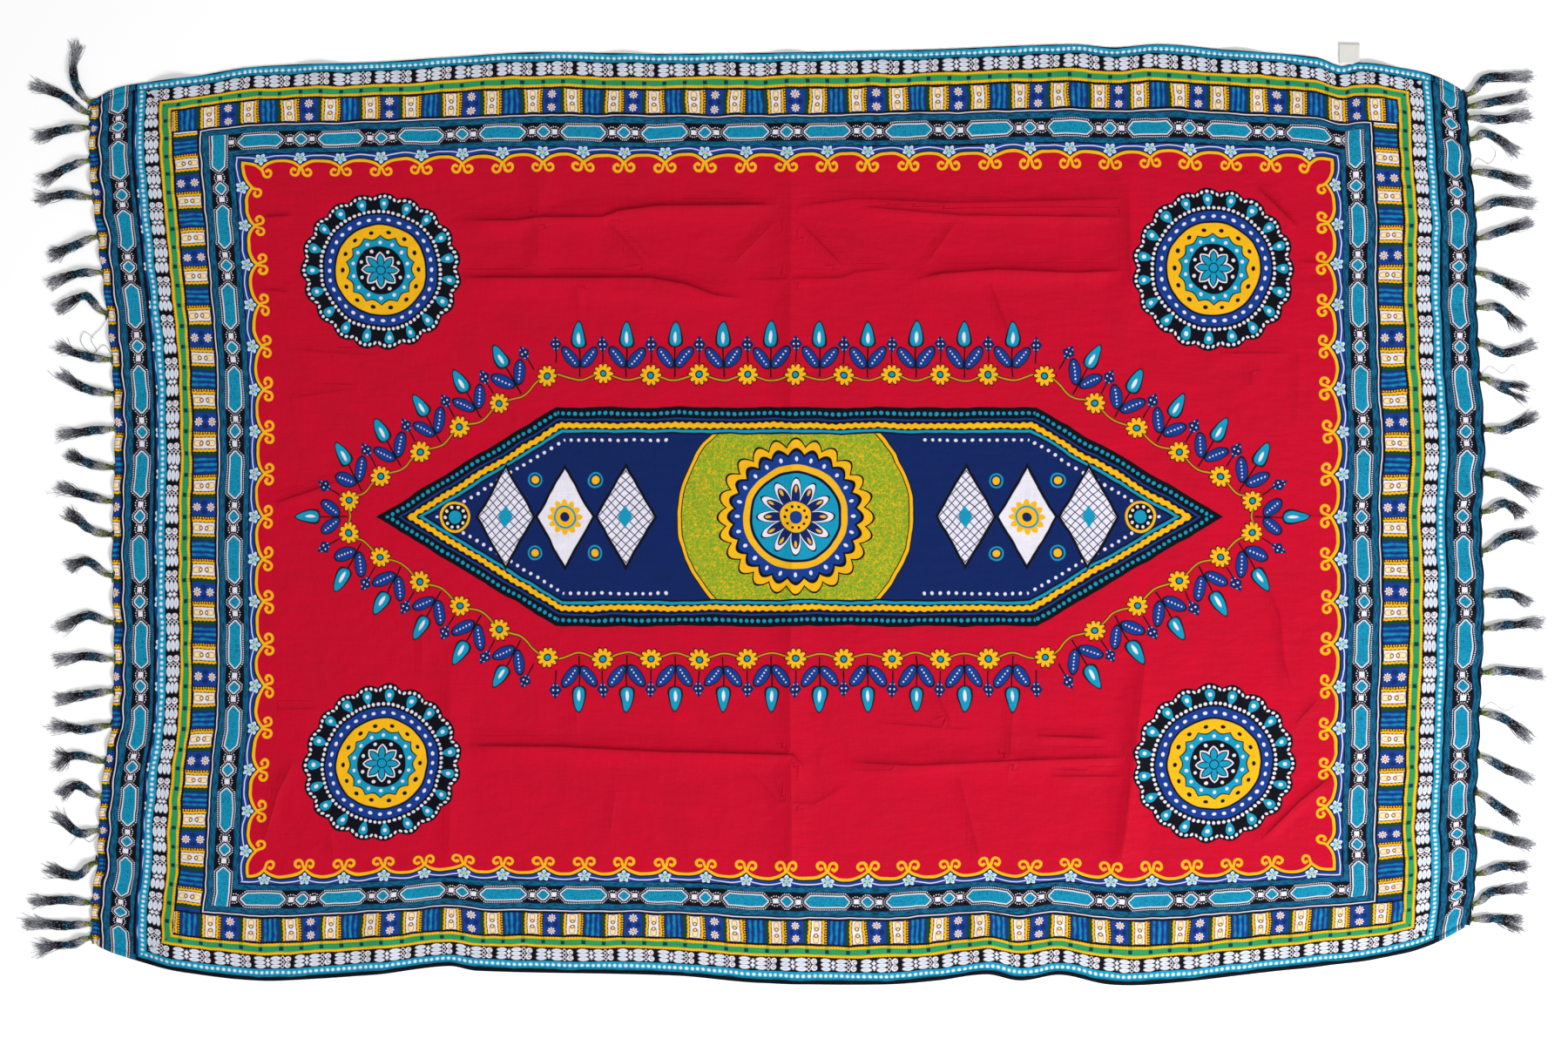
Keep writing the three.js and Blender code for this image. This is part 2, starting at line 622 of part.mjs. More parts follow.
function labelGeometry() {
  const { points, steps } = longEdge(1);
  const slope = Math.tan(THREE.MathUtils.degToRad(LABEL.turn));
  const hemLine = points.map((point, i) => point.clone().addScaledVector(steps[i], SEAM_GAP + HEM_WIDTH));
  const hemHeight = (x) => {
    const after = hemLine.findIndex((point) => point.x > x);
    const share = (x - hemLine[after - 1].x) / (hemLine[after].x - hemLine[after - 1].x);
    return THREE.MathUtils.lerp(hemLine[after - 1].y, hemLine[after].y, share);
  };
  const below = hemLine.filter((point) => Math.abs(point.x - LABEL.at) < LABEL.width / 2);
  const clearOf = [-0.5, 0.5].map((share) => LABEL.at + share * LABEL.width);
  clearOf.push(...below.map((point) => point.x));
  const start = Math.max(...clearOf.map((x) => hemHeight(x) - slope * (x - LABEL.at))) + SEAM_GAP;

  const outer = LABEL.wall + LABEL.slot / 2;
  const inner = LABEL.slot / 2;
  const round = LABEL.reach - outer;
  const arc = (radius, turns) => {
    return turns.map((turn) => [round + radius * Math.cos(turn), outer + radius * Math.sin(turn)]);
  };
  const quarter = Math.PI / 4;
  const profile = [
    [0, 0],
    ...arc(outer, [-2 * quarter, -quarter, 0, quarter, 2 * quarter]),
    [0, 2 * outer],
    [0, outer + inner],
    ...arc(inner, [2 * quarter, 0, -2 * quarter]),
    [0, outer - inner],
  ];
  const shape = new THREE.Shape(profile.map(([along, up]) => new THREE.Vector2(along, up)));
  const geometry = new THREE.ExtrudeGeometry(shape, { depth: LABEL.width, bevelEnabled: false });
  geometry.translate(0, 0, -LABEL.width / 2);
  geometry.rotateX(Math.PI / 2);
  geometry.rotateZ(Math.PI / 2 + THREE.MathUtils.degToRad(LABEL.turn));
  geometry.translate(LABEL.at, start, 0);
  return geometry;
}

// ---- Materials and the assembled sarong ----

const cloth = (color) => new THREE.MeshStandardMaterial({ color, roughness: 0.8, metalness: 0 });

function piece(name, geometry, color) {
  const mesh = new THREE.Mesh(geometry, cloth(color));
  mesh.name = name;
  return mesh;
}

const group = new THREE.Group();
group.add(piece("cloth", clothGeometry(), 0xc8052d));
group.add(piece("hem_back", hemGeometry(1), 0x14141e));
group.add(piece("hem_front", hemGeometry(-1), 0x14141e));
group.add(piece("fringe_left", fringeGeometry(ENDS.left), 0x2f6f86));
group.add(piece("fringe_right", fringeGeometry(ENDS.right), 0x2f6f86));
group.add(piece("label", labelGeometry(), 0xf2f0ea));

const box = new THREE.Box3().setFromObject(group);
const middle = box.getCenter(new THREE.Vector3());
group.position.set(-middle.x, -middle.y, -box.min.z);

export default group;
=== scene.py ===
# %% [markdown]
# # A sarong laid flat
# One length of printed rayon with a rolled hem on each long edge, hand-twisted tassels on each
# end and a small blank tape label. The CAD model gives its place and its size; everything below
# is the cloth as it is seen: thin, creased, printed and frayed.
# The frame has to be loaded first, since every piece hangs on its bodies and nodes.

# %% Load the frame
import math
from functools import reduce

import bpy
import numpy as np
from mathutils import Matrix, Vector


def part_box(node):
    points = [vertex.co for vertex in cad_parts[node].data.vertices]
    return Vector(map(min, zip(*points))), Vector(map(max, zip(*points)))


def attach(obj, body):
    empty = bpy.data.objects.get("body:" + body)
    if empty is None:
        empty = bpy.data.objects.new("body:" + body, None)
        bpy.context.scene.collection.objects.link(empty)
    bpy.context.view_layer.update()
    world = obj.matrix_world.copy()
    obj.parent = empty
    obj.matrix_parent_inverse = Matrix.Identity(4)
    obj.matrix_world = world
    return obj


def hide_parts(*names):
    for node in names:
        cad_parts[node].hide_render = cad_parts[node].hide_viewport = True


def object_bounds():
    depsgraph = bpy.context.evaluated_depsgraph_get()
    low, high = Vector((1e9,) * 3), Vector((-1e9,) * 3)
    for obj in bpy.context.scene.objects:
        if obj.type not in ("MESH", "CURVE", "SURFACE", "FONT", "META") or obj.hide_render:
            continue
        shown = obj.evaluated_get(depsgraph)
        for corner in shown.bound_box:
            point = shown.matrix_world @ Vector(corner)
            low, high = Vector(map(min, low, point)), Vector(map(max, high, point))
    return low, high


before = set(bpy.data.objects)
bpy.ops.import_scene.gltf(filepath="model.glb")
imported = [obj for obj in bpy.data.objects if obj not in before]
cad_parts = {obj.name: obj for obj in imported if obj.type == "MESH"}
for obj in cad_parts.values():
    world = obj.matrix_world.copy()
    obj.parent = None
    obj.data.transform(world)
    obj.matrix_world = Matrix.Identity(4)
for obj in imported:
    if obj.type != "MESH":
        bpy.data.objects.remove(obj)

cad_low, cad_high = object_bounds()
MM = 0.001  # every size below is written in millimetres
IN_MM = 1000  # a metre in mm, for node graphs
rng = np.random.default_rng(7)
print("CAD box in mm:", [round(size / MM) for size in cad_high - cad_low])

# %% [markdown]
# ## How the cut has crept in
# A loom gives a true rectangle, but a cloth that has been washed and folded away draws in at its
# corners and ends. A point of the flat cut is (u, v); `laid` says where it lies now. The tables
# hold, for each edge, how far it has drawn in at places along it, and a smooth curve joins them.
# Working in the flat cut lets the print bend with the cloth, as it does on the real thing.

# %% The four edges
HALF_LENGTH = 840
HALF_WIDTH = 575
HEM_WIDTH = 6
HEADER_WIDTH = 6
SEAM_GAP = 0.3
CLOTH_U = HALF_LENGTH - HEADER_WIDTH - SEAM_GAP
CLOTH_V = HALF_WIDTH - HEM_WIDTH - SEAM_GAP
END_DRAW_FROM = 200
SIDE_DRAW_FROM = 230
DRAW_POWER = 1.5

# Rows of (place along the edge, how far the edge lies inside the cut).
BACK_DRAW = [
    (-840, 75), (-810, 58), (-770, 50), (-720, 44), (-640, 31), (-490, 25), (-400, 19),
    (-300, 13), (-140, 15), (160, 10), (350, 3), (400, 7), (460, 3), (540, 10), (650, 19),
    (683, 30), (706, 26), (756, 32), (800, 42), (840, 63),
]
FRONT_DRAW = [
    (-840, 65), (-810, 51), (-735, 30), (-640, 18), (-570, 20), (-490, 26), (-405, 36),
    (-370, 30), (-130, 24), (-30, 15), (120, 13), (185, 18), (245, 26), (285, 18), (335, 25),
    (395, 13), (460, 14), (585, 28), (665, 37), (720, 44), (790, 62), (840, 88),
]
LEFT_DRAW = [
    (-575, 6), (-500, 7), (-450, 13), (-380, 16), (-305, 22), (-250, 31), (-150, 34), (-52, 32),
    (20, 33), (100, 35), (190, 31), (277, 22), (375, 12), (465, 4), (575, 5),
]
RIGHT_DRAW = [
    (-575, 14), (-495, 8), (-440, 6), (-385, 8), (-300, 4), (-210, 1), (-110, -3), (0, 0),
    (88, -4), (180, 2), (295, 7), (370, 6), (430, 11), (500, 15), (575, 19),
]


def draw_curve(rows):
    """A smooth line through the rows, with each row's slope taken from its neighbours."""
    at, inset = np.array(rows, float).T
    near = np.clip(np.arange(len(at))[:, None] + [-1, 1], 0, len(at) - 1)
    slope = (inset[near[:, 1]] - inset[near[:, 0]]) / (at[near[:, 1]] - at[near[:, 0]])

    def curve(place):
        place = np.clip(place, at[0], at[-1])
        i = np.clip(np.searchsorted(at, place) - 1, 0, len(at) - 2)
        step = at[i + 1] - at[i]
        t = (place - at[i]) / step
        from_start = (1 + 2 * t) * (1 - t) ** 2 * inset[i] + t * (1 - t) ** 2 * step * slope[i]
        from_end = t * t * (3 - 2 * t) * inset[i + 1] + t * t * (t - 1) * step * slope[i + 1]
        return from_start + from_end

    return curve


back_draw, front_draw = draw_curve(BACK_DRAW), draw_curve(FRONT_DRAW)
end_draws = {-1: draw_curve(LEFT_DRAW), 1: draw_curve(RIGHT_DRAW)}


def growing(distance, start, end):
    return np.maximum(0, (distance - start) / (end - start)) ** DRAW_POWER


def laid_across(u, v):
    draw = np.where(v < 0, front_draw(u), back_draw(u))
    return v - np.sign(v) * draw * growing(np.abs(v), SIDE_DRAW_FROM, HALF_WIDTH)


print("corners drawn in by up to", max(inset for _, inset in BACK_DRAW + FRONT_DRAW), "mm")

# %% [markdown]
# ## The tassels' places
# The warp threads that stick out past the last weft are gathered by hand into bunches and
# twisted. No two lie alike, so each tassel has a row of its own: where it is rooted along the
# end, where its middle and tip lie, and how far a parted tip spreads. The cloth puckers up a
# little between neighbouring roots, so the roots have to be known before the cloth is made.

# %% Tassel tables and puckers
RIPPLE_RISE = 3.4
RIPPLE_BULGE = 3
RIPPLE_RUN = 85
RIPPLE_PITCH = 42
RIPPLE_MOST = 1.2  # of the usual height, between two roots that stand far apart

# Rows of (root's place along the end, middle out, middle along, tip out, tip along, split).
LEFT_TASSELS = [
    (-502, 24, -7, 68, -6, -14), (-486, 41, -2, 82, 1, 0), (-461, 30, 3, 74, 2, 0),
    (-412, 28, -17, 64, -9, 0), (-375, 26, -4, 56, 18, 0), (-335, 33, 14, 53, 2, 0),
    (-293, 36, 8, 63, -9, 20), (-249, 36, -5, 75, -1, 0), (-208, 34, -4, 72, -10, 0),
    (-170, 37, 4, 73, -1, 0), (-126, 35, 9, 70, -7, 0), (-70, 35, 18, 58, 12, 0),
    (-20, 30, 6, 58, 28, 0), (20, 34, 7, 70, 17, 0), (61, 35, 5, 60, 17, 0),
    (108, 35, -3, 70, -8, 0), (150, 37, 6, 68, 24, 0), (191, 33, 4, 68, 9, 12),
    (246, 30, 22, 63, 5, 0), (296, 33, -1, 67, -13, 0), (339, 30, -10, 60, -22, 0),
    (385, 34, 4, 70, -3, 0), (429, 30, -8, 60, -24, 0), (468, 32, -2, 66, -12, 0),
    (484, 38, 22, 73, 34, 0), (496, 25, 33, 21, 71, 0),
]
RIGHT_TASSELS = [
    (-480, 32, 1, 66, -2, -11), (-463, 25, 14, 70, 20, 0), (-427, 38, 10, 66, 8, 0),
    (-375, 29, -6, 72, -19, 0), (-330, 33, -18, 54, -34, 0), (-286, 34, -14, 68, -30, 0),
    (-234, 32, -7, 65, -33, 0), (-186, 29, 3, 77, -4, 0), (-133, 31, 4, 75, 7, 0),
    (-93, 35, 2, 61, -10, 0), (-40, 33, 17, 68, 21, 0), (7, 32, 11, 54, -4, 0),
    (54, 26, -3, 69, -25, 0), (107, 29, 0, 65, 17, 0), (169, 25, -8, 60, -12, -13),
    (210, 35, -11, 70, 0, 0), (254, 30, 0, 58, -25, 0), (296, 31, -8, 65, -25, 0),
    (336, 30, 8, 70, 19, 0), (371, 30, 9, 73, 7, 0), (416, 33, -3, 73, -14, 0),
    (454, 23, 8, 62, -17, 0), (480, 38, -2, 78, 1, 0), (493, 38, 6, 74, 12, 0),
    (506, 27, 20, 79, 22, 0),
]
TASSELS = {-1: LEFT_TASSELS, 1: RIGHT_TASSELS}


def cut_place(side, y):
    """The v whose laid place at one end is y, found by halving."""
    low, high = -HALF_WIDTH, HALF_WIDTH
    for _ in range(40):
        middle = (low + high) / 2
        if laid_across(side * HALF_LENGTH, middle) < y:
            low = middle
        else:
            high = middle
    return low


ROOTS = {side: np.array([cut_place(side, row[0]) for row in rows]) for side, rows in TASSELS.items()}


def pucker(side, v):
    """0 at each root and past the outer ones, up to about 1 halfway between two roots."""
    roots = ROOTS[side]
    after = np.searchsorted(roots, v, side="right")
    between = (after >= 1) & (after < len(roots))
    after = np.clip(after, 1, len(roots) - 1)
    room = roots[after] - roots[after - 1]
    phase = (v - roots[after - 1]) / room
    ripple = np.minimum(room / RIPPLE_PITCH, RIPPLE_MOST) * np.sin(np.pi * phase) ** 2
    return np.where(between, ripple, 0)


def pucker_here(u, v):
    return np.where(u < 0, pucker(-1, v), pucker(1, v))


def near_end(u):
    inwards = (HALF_LENGTH - np.abs(u)) / RIPPLE_RUN
    return np.where(inwards >= 1, 0, (1 - np.minimum(inwards, 1)) ** 2)


def laid(u, v):
    """Where a point of the cut lies, before the shift into the frame."""
    side = np.where(u < 0, -1, 1)
    draw = np.where(u < 0, end_draws[-1](v), end_draws[1](v))
    inset = draw * growing(np.abs(u), END_DRAW_FROM, HALF_LENGTH)
    bulge = RIPPLE_BULGE * pucker_here(u, v) * near_end(u) ** 2
    return u - side * (inset - bulge), laid_across(u, v)


print("tassels:", len(LEFT_TASSELS), "on the left and", len(RIGHT_TASSELS), "on the right")

# %% [markdown]
# ## Soft folds and sharp creases
# Two kinds of form lie on a pressed cloth. Folds are wide and low: where it was folded in half
# again and again, and where an edge that has drawn in buckles up. Creases are narrow pleats that
# the fabric was pressed into. Simulation would put them somewhere else each time, so both are
# placed from short tables, each with its own length, height and width. A crease has one
# steep side and one gentle side, because a pleat always leans over.

# %% Folds
# Rows of (from u, from v, to u, to v, rise, half width).
FOLDS = [
    (8, -575, 6, 575, 2.4, 30), (414, 190, 410, 480, 3.2, 30), (436, -150, 404, -470, 3.2, 30),
    (-296, 250, -294, 450, 2, 28), (-404, -150, -404, -460, 1.8, 28), (-400, 361, -5, 382, 2.8, 26),
    (60, 380, 430, 370, 2.2, 28), (-400, 290, -40, 270, 2.8, 26), (140, 292, 430, 302, 2.4, 26),
    (-400, -274, 30, -288, 2.8, 26), (70, -300, 430, -290, 2.2, 26),
    (-740, 575, -700, 400, 4.4, 36), (-560, 575, -548, 455, 2.8, 34),
    (-190, 575, -184, 480, 2.4, 36), (560, 575, 545, 440, 3, 36), (725, 575, 690, 410, 4.2, 36),
    (-745, -575, -708, -420, 4.2, 36), (-490, -575, -478, -450, 3.2, 34),
    (245, -575, 240, -455, 3.4, 34), (640, -575, 612, -430, 3.6, 36),
    (770, -575, 735, -440, 4.4, 36),
]
FOLD_TIP_SHARE, FOLD_TIP_MOST = 0.35, 90  # a fold's tip, as a share of its run and in mm at most


def fold_height(fold, u, v):
    """A raised cosine across the fold that fades towards each tip, but not at an edge."""
    u0, v0, u1, v1, rise, spread = fold
    run = math.hypot(u1 - u0, v1 - v0)
    along = ((u - u0) * (u1 - u0) + (v - v0) * (v1 - v0)) / run
    aside = np.abs((u - u0) * (v1 - v0) - (v - v0) * (u1 - u0)) / run
    share = 0.5 + 0.5 * np.cos(np.pi * np.minimum(aside / spread, 1))
    tip = min(FOLD_TIP_SHARE * run, FOLD_TIP_MOST)
    for tip_v, from_tip in ((v0, along), (v1, run - along)):
        if abs(tip_v) < HALF_WIDTH:
            share = share * np.sin(np.pi / 2 * np.clip(from_tip / tip, 0, 1))
    return np.where((along >= 0) & (along <= run), rise * share, 0)


def lift(u, v):
    """How high the underside stands over the surface that the cloth lies on."""
    height = RIPPLE_RISE * pucker_here(u, v) * near_end(u)
    for fold in FOLDS:
        height = np.maximum(height, fold_height(fold, u, v))
    return height


print("folds:", len(FOLDS), "up to", max(fold[4] for fold in FOLDS), "mm high")

# %% Creases
# Rows of (height, width of the steep side, width of the gentle side, points on the laid cloth).
# The steep side is on the left of the line as it runs from its first point to its last.
CREASES = [
    # the long pleats of the back half
    (1.7, 2.6, 9, [(-627, 363), (-593, 365)]),
    (2.2, 2.6, 10, [(-389, 359), (-321, 359), (-296, 363), (-219, 363), (-198, 371), (-151, 377),
                    (-7, 378)]),
    (1.0, 2.6, 8, [(6, 375), (87, 385), (198, 380), (414, 385)]),
    (1.5, 2.6, 8, [(87, 376), (214, 365), (414, 363)]),
    (2.2, 2.6, 10, [(-389, 290), (-160, 290), (-117, 282), (-83, 269), (-49, 265)]),
    (1.0, 2.6, 8, [(-49, 287), (70, 290), (87, 297), (138, 301)]),
    (1.9, 2.6, 9, [(155, 287), (189, 295), (257, 300), (351, 296), (414, 299)]),
    # the long pleats of the front half
    (2.2, 2.6, 10, [(-381, -274), (-270, -275), (-151, -281), (-66, -283), (10, -285), (23, -298),
                    (29, -313)]),
    (1.6, 2.6, 8, [(78, -294), (155, -298), (283, -292), (414, -288)]),
    (1.2, 2.6, 7, [(78, -304), (189, -303)]),
    (1.1, 2.6, 7, [(108, -246), (231, -256)]),
    (1.8, 2.6, 8, [(300, -262), (393, -266)]),
    (1.5, 2.6, 8, [(317, -311), (414, -311)]),
    # folds across the cloth
    (1.1, 2.4, 6, [(9, 408), (7, 200), (10, 0), (7, -210), (10, -426)]),
    (2.0, 2.6, 8, [(413, 399), (418, 255)]),
    (2.0, 2.6, 8, [(436, -162), (420, -300), (406, -417)]),
    (0.9, 2.6, 7, [(-296, 403), (-296, 306)]),
    (0.9, 2.6, 7, [(-250, 284), (-246, 246)]),
    (0.9, 2.6, 7, [(-250, -196), (-250, -264)]),
    (1.5, 2.6, 7, [(278, -196), (270, -324)]),
    (1.4, 2.6, 8, [(210, -307), (240, -426)]),
    (0.8, 2.6, 7, [(-402, -188), (-402, -417)]),
    (0.8, 2.6, 7, [(-436, -94), (-436, -196)]),
    (0.9, 2.6, 6, [(-202, -324), (-211, -392)]),
    (1.9, 2.6, 6, [(248, 284), (278, 203)]),
    # the right side
    (2.0, 2.8, 9, [(584, -86), (597, -120), (602, -179), (614, -213)]),
    (0.9, 2.6, 7, [(618, 212), (618, 101)]),
    (1.6, 2.6, 6, [(563, 178), (563, 152)]),
    (1.0, 2.6, 7, [(516, 199), (614, 199)]),
    (1.2, 2.6, 7, [(605, 2), (665, 2)]),
    (1.3, 2.6, 7, [(614, -251), (648, -213)]),
    (2.0, 2.8, 9, [(571, -392), (622, -341), (665, -307)]),
    (2.0, 2.8, 9, [(567, 403), (622, 348)]),
    (1.1, 2.6, 7, [(618, 310), (665, 306)]),
    # the left side
    (2.0, 2.8, 9, [(-619, 16), (-534, 45)]),
    (0.9, 2.8, 9, [(-598, 204), (-479, 195)]),
    (0.9, 2.8, 9, [(-602, 144), (-508, 157)]),
    (1.2, 2.6, 8, [(-627, 276), (-593, 272)]),
    (2.0, 2.8, 9, [(-589, -290), (-610, -332), (-627, -392)]),
    (0.9, 2.6, 8, [(-619, -230), (-559, -230)]),
    (1.0, 2.6, 7, [(-547, -375), (-542, -417)]),
    # slanting creases
    (1.2, 2.6, 7, [(-215, 361), (-160, 297)]),
    (1.2, 2.6, 7, [(-7, 361), (-66, 301)]),
    (1.8, 2.6, 7, [(19, 357), (74, 301)]),
    (1.4, 2.6, 6, [(210, 361), (172, 306)]),
    (0.9, 2.6, 7, [(-53, -290), (-7, -341), (36, -345), (78, -319)]),
    (1.5, 2.6, 7, [(180, -205), (206, -256)]),
]
CREASE_TIP_SHARE, CREASE_TIP_MOST = 0.3, 45  # as for a fold
CREASE_TIP_HEIGHT = 0.25  # of the crease's height, where it ends

# %% Small wrinkles
# They run inwards from each end and each long edge, where the cloth has drawn in.
# Rows of (count, furthest along, how far out, how long, sideways bend), for ends and for edges.
WRINKLES = [(30, 520, (640, 790), (40, 110), 14), (24, 760, (455, 530), (35, 90), 22)]
WRINKLE_RISE = (0.5, 1.3)
WRINKLE_STEEP = 5.0
WRINKLE_GENTLE = (8, 14)
WRINKLE_SWAY = 4


def wrinkle_points(side, furthest, outwards, lengths, bends):
    """Three points (out, along) of a short bent line."""
    along = rng.uniform(-furthest, furthest)
    out = side * rng.uniform(*outwards)
    half = side * rng.uniform(*lengths) / 2
    bend = rng.normal(0, bends)
    middle = along + rng.normal(0, WRINKLE_SWAY)
    return [(out - half, along - bend), (out, middle), (out + half, along + bend)]


def small_wrinkles():
    """Short low creases across the bands, spread at random but the same each time."""
    wrinkles = []
    for side in (-1, 1):
        for on_edge, (count, *ranges) in enumerate(WRINKLES):
            for _ in range(count):
                points = wrinkle_points(side, *ranges)
                if on_edge:
                    points = [point[::-1] for point in points]
                rise = rng.uniform(*WRINKLE_RISE)
                wrinkles.append((rise, WRINKLE_STEEP, rng.uniform(*WRINKLE_GENTLE), points))
    return wrinkles


ALL_CREASES = CREASES + small_wrinkles()
print("creases:", len(CREASES), "long and", len(ALL_CREASES) - len(CREASES), "small")


# %% The height of a crease
def crease_reach(crease, x, y):
    """Distance from a crease's line, positive on its steep side, and how far it has faded."""
    points = np.array(crease[3], float)
    legs = np.diff(points, axis=0)
    lengths = np.hypot(*legs.T)
    total = lengths.sum()
    nearest = np.full(x.shape, np.inf)
    signed = np.zeros(x.shape)
    place = np.zeros(x.shape)
    start = 0.0
    for (px, py), (dx, dy), length in zip(points, legs, lengths):
        along = ((x - px) * dx + (y - py) * dy) / length
        aside = ((y - py) * dx - (x - px) * dy) / length
        on_leg = np.clip(along, 0, length)
        distance = np.hypot(aside, along - on_leg)
        closer = distance < nearest
        nearest = np.where(closer, distance, nearest)
        signed = np.where(closer, np.where(aside > 0, distance, -distance), signed)
        place = np.where(closer, start + on_leg, place)
        start += length
    tip = min(CREASE_TIP_SHARE * total, CREASE_TIP_MOST)
    tips = np.clip(np.minimum(place, total - place) / tip, 0, 1)
    return signed, np.sin(np.pi / 2 * tips)


def crease_height(crease, x, y):
    """A crease's height: sharp at its line, steep on one side, and lower at both tips."""
    rise, steep, gentle, _ = crease
    signed, faded = crease_reach(crease, x, y)
    width = np.where(signed > 0, steep, gentle)
    lowered = CREASE_TIP_HEIGHT + (1 - CREASE_TIP_HEIGHT) * faded
    return rise * lowered * np.exp(-np.abs(signed) / width)


def crease_lift(x, y):
    height = np.zeros(np.shape(x))
    for crease in ALL_CREASES:
        height = np.maximum(height, crease_height(crease, x, y))
    return height


# %% The bump and painted shade of a crease
MARK_FULL, MARK_GONE = 6.4, 14.4  # how near to a crease its mark is full, and how far off it ends
MARK_FALL = 4  # of two creases, the nearer one tells more


def crease_bump_and_shade(x, y):
    """Distance from the long crease that tells most at each point, and that crease's height; both drive
    its bump and its line of painted shade.
    """
    most_telling = np.full(x.shape, -1.0)
    apart = np.zeros(x.shape)
    height = np.zeros(x.shape)
    for crease in CREASES:
        signed, faded = crease_reach(crease, x, y)
        near = np.clip((MARK_GONE - np.abs(signed)) / (MARK_GONE - MARK_FULL), 0, 1)
        rise = crease[0] * faded * near
        telling = rise * np.exp(-np.abs(signed) / MARK_FALL)
        better = telling > most_telling
        most_telling = np.where(better, telling, most_telling)
        apart = np.where(better, signed, apart)
        height = np.where(better, rise, height)
    return np.stack([apart, height], axis=-1)


print("creases are marked up to", MARK_GONE, "mm away")

# %% [markdown]
# ## Writing a print as sums
# A print could be an image, but an image has one size and one sharpness. Here each motif is
# worked out from distances on the flat cut, so it stays sharp and can be changed by a number.
# Blender does that with Math nodes, and a long formula in nodes is hard to read. `Shade` stands
# for what a node puts out: adding or multiplying two of them makes the Math node and its links.

# %% Sums that become nodes
def sign(operation, swapped=False):
    """The method that stands for a sign such as + or <, and makes one Math node."""
    def method(*shades):
        return reckon(operation, *(shades[::-1] if swapped else shades))
    return method


class Shade:
    """The output of a node, so that a sum with it is written as a sum."""

    def __init__(self, tree, socket):
        self.tree = tree
        self.socket = socket

    __add__ = __radd__ = sign("ADD")
    __sub__ = sign("SUBTRACT")
    __rsub__ = sign("SUBTRACT", swapped=True)
    __mul__ = __rmul__ = sign("MULTIPLY")
    __truediv__ = sign("DIVIDE")
    __pow__ = sign("POWER")
    __abs__ = sign("ABSOLUTE")
    __lt__ = sign("LESS_THAN")
    __gt__ = sign("GREATER_THAN")


def feed(tree, socket, value):
    """Gives a node's input another node's output, or a plain value."""
    if isinstance(value, Shade):
        tree.links.new(value.socket, socket)
    else:
        socket.default_value = value


def add_node(tree, kind, inputs, **settings):
    """A node with these settings, fed at its named or numbered inputs."""
    node = tree.nodes.new(kind)
    for name, value in settings.items():
        setattr(node, name, value)
    for socket, value in inputs.items():
        feed(tree, node.inputs[socket], value)
    return node


def reckon(operation, *values, clamp=False):
    tree = next(value.tree for value in values if isinstance(value, Shade))
    inputs = dict(enumerate(values))
    node = add_node(tree, "ShaderNodeMath", inputs, operation=operation, use_clamp=clamp)
    return Shade(tree, node.outputs[0])


# %% Everyday sums
def least(*values):
    return reduce(lambda one, other: reckon("MINIMUM", one, other), values)


def most(*values):
    return reduce(lambda one, other: reckon("MAXIMUM", one, other), values)


def to_nearest(place, period):
    """How far a place is from the nearest whole number of periods."""
    return reckon("PINGPONG", place, period / 2)


def wrapped(place, period):
    """The place within its own period, from minus half a period to plus half."""
    return reckon("WRAP", place, period / 2, -period / 2)


def wave(place, period):
    return reckon("SINE", place * (2 * math.pi / period))


def cosine(turn):
    return reckon("COSINE", turn)


def paired(tree, x, y):
    """Two numbers as one direction."""
    return Shade(tree, add_node(tree, "ShaderNodeCombineXYZ", {0: x, 1: y}).outputs[0])


def parts_of(direction):
    """The three numbers of a direction."""
    node = add_node(direction.tree, "ShaderNodeSeparateXYZ", {0: direction})
    return [Shade(direction.tree, socket) for socket in node.outputs]


def length(x, y):
    pair = paired(x.tree, x, y)
    node = add_node(x.tree, "ShaderNodeVectorMath", {0: pair}, operation="LENGTH")
    return Shade(x.tree, node.outputs["Value"])


def angle(x, y):
    return reckon("ARCTAN2", y, x)


# %% Masks
# Each is 1 inside a shape and 0 outside it, from the distance to its outline.
PRINT_EDGE = 0.8  # mm over which one colour gives way to the next


def inside(distance, edge=PRINT_EDGE):
    return reckon("MULTIPLY_ADD", distance, -1 / edge, 0.5, clamp=True)


def stripe(place, middle, half_width):
    return inside(abs(place - middle) - half_width)


def disc(x, y, radius):
    return inside(length(x, y) - radius)


def oval(x, y, half_x, half_y):
    return inside((length(x / half_x, y / half_y) - 1) * min(half_x, half_y))


def ring(distance, radius, half_width):
    return inside(abs(distance - radius) - half_width)


def lozenge(x, y, half_x, half_y):
    return inside((abs(x) / half_x + abs(y) / half_y - 1) * (0.7 * min(half_x, half_y)))


def choose(mask, one, other):
    """One where the mask is 1, the other where it is 0."""
    return other + mask * (one - other)


print("print edge:", PRINT_EDGE, "mm")


# %% Paint
# A Mix node has sockets for numbers, colours and directions under the same names.
def of_kind(sockets, name, kind):
    return next(socket for socket in sockets if socket.name == name and socket.type == kind)


class Paint:
    """A printed ground. Each shape laid on it covers what was there."""

    def __init__(self, tree, colour):
        self.tree = tree
        self.colour = colour

    def lay(self, mask, colour):
        node = add_node(self.tree, "ShaderNodeMix", {}, data_type="RGBA")
        feed(self.tree, of_kind(node.inputs, "Factor", "VALUE"), mask)
        feed(self.tree, of_kind(node.inputs, "A", "RGBA"), self.colour)
        feed(self.tree, of_kind(node.inputs, "B", "RGBA"), colour)
        self.colour = Shade(self.tree, of_kind(node.outputs, "Result", "RGBA"))
        return self

    def lay_nested(self, distance, *shapes):
        """Lays shapes of (reach, colour) one on another, all round the same middle."""
        for reach, colour in shapes:
            self.lay(inside(distance - reach), colour)


def choose_colour(tree, mask, ground, other):
    """A colour between two, by a mask."""
    return Paint(tree, ground).lay(mask, other).colour

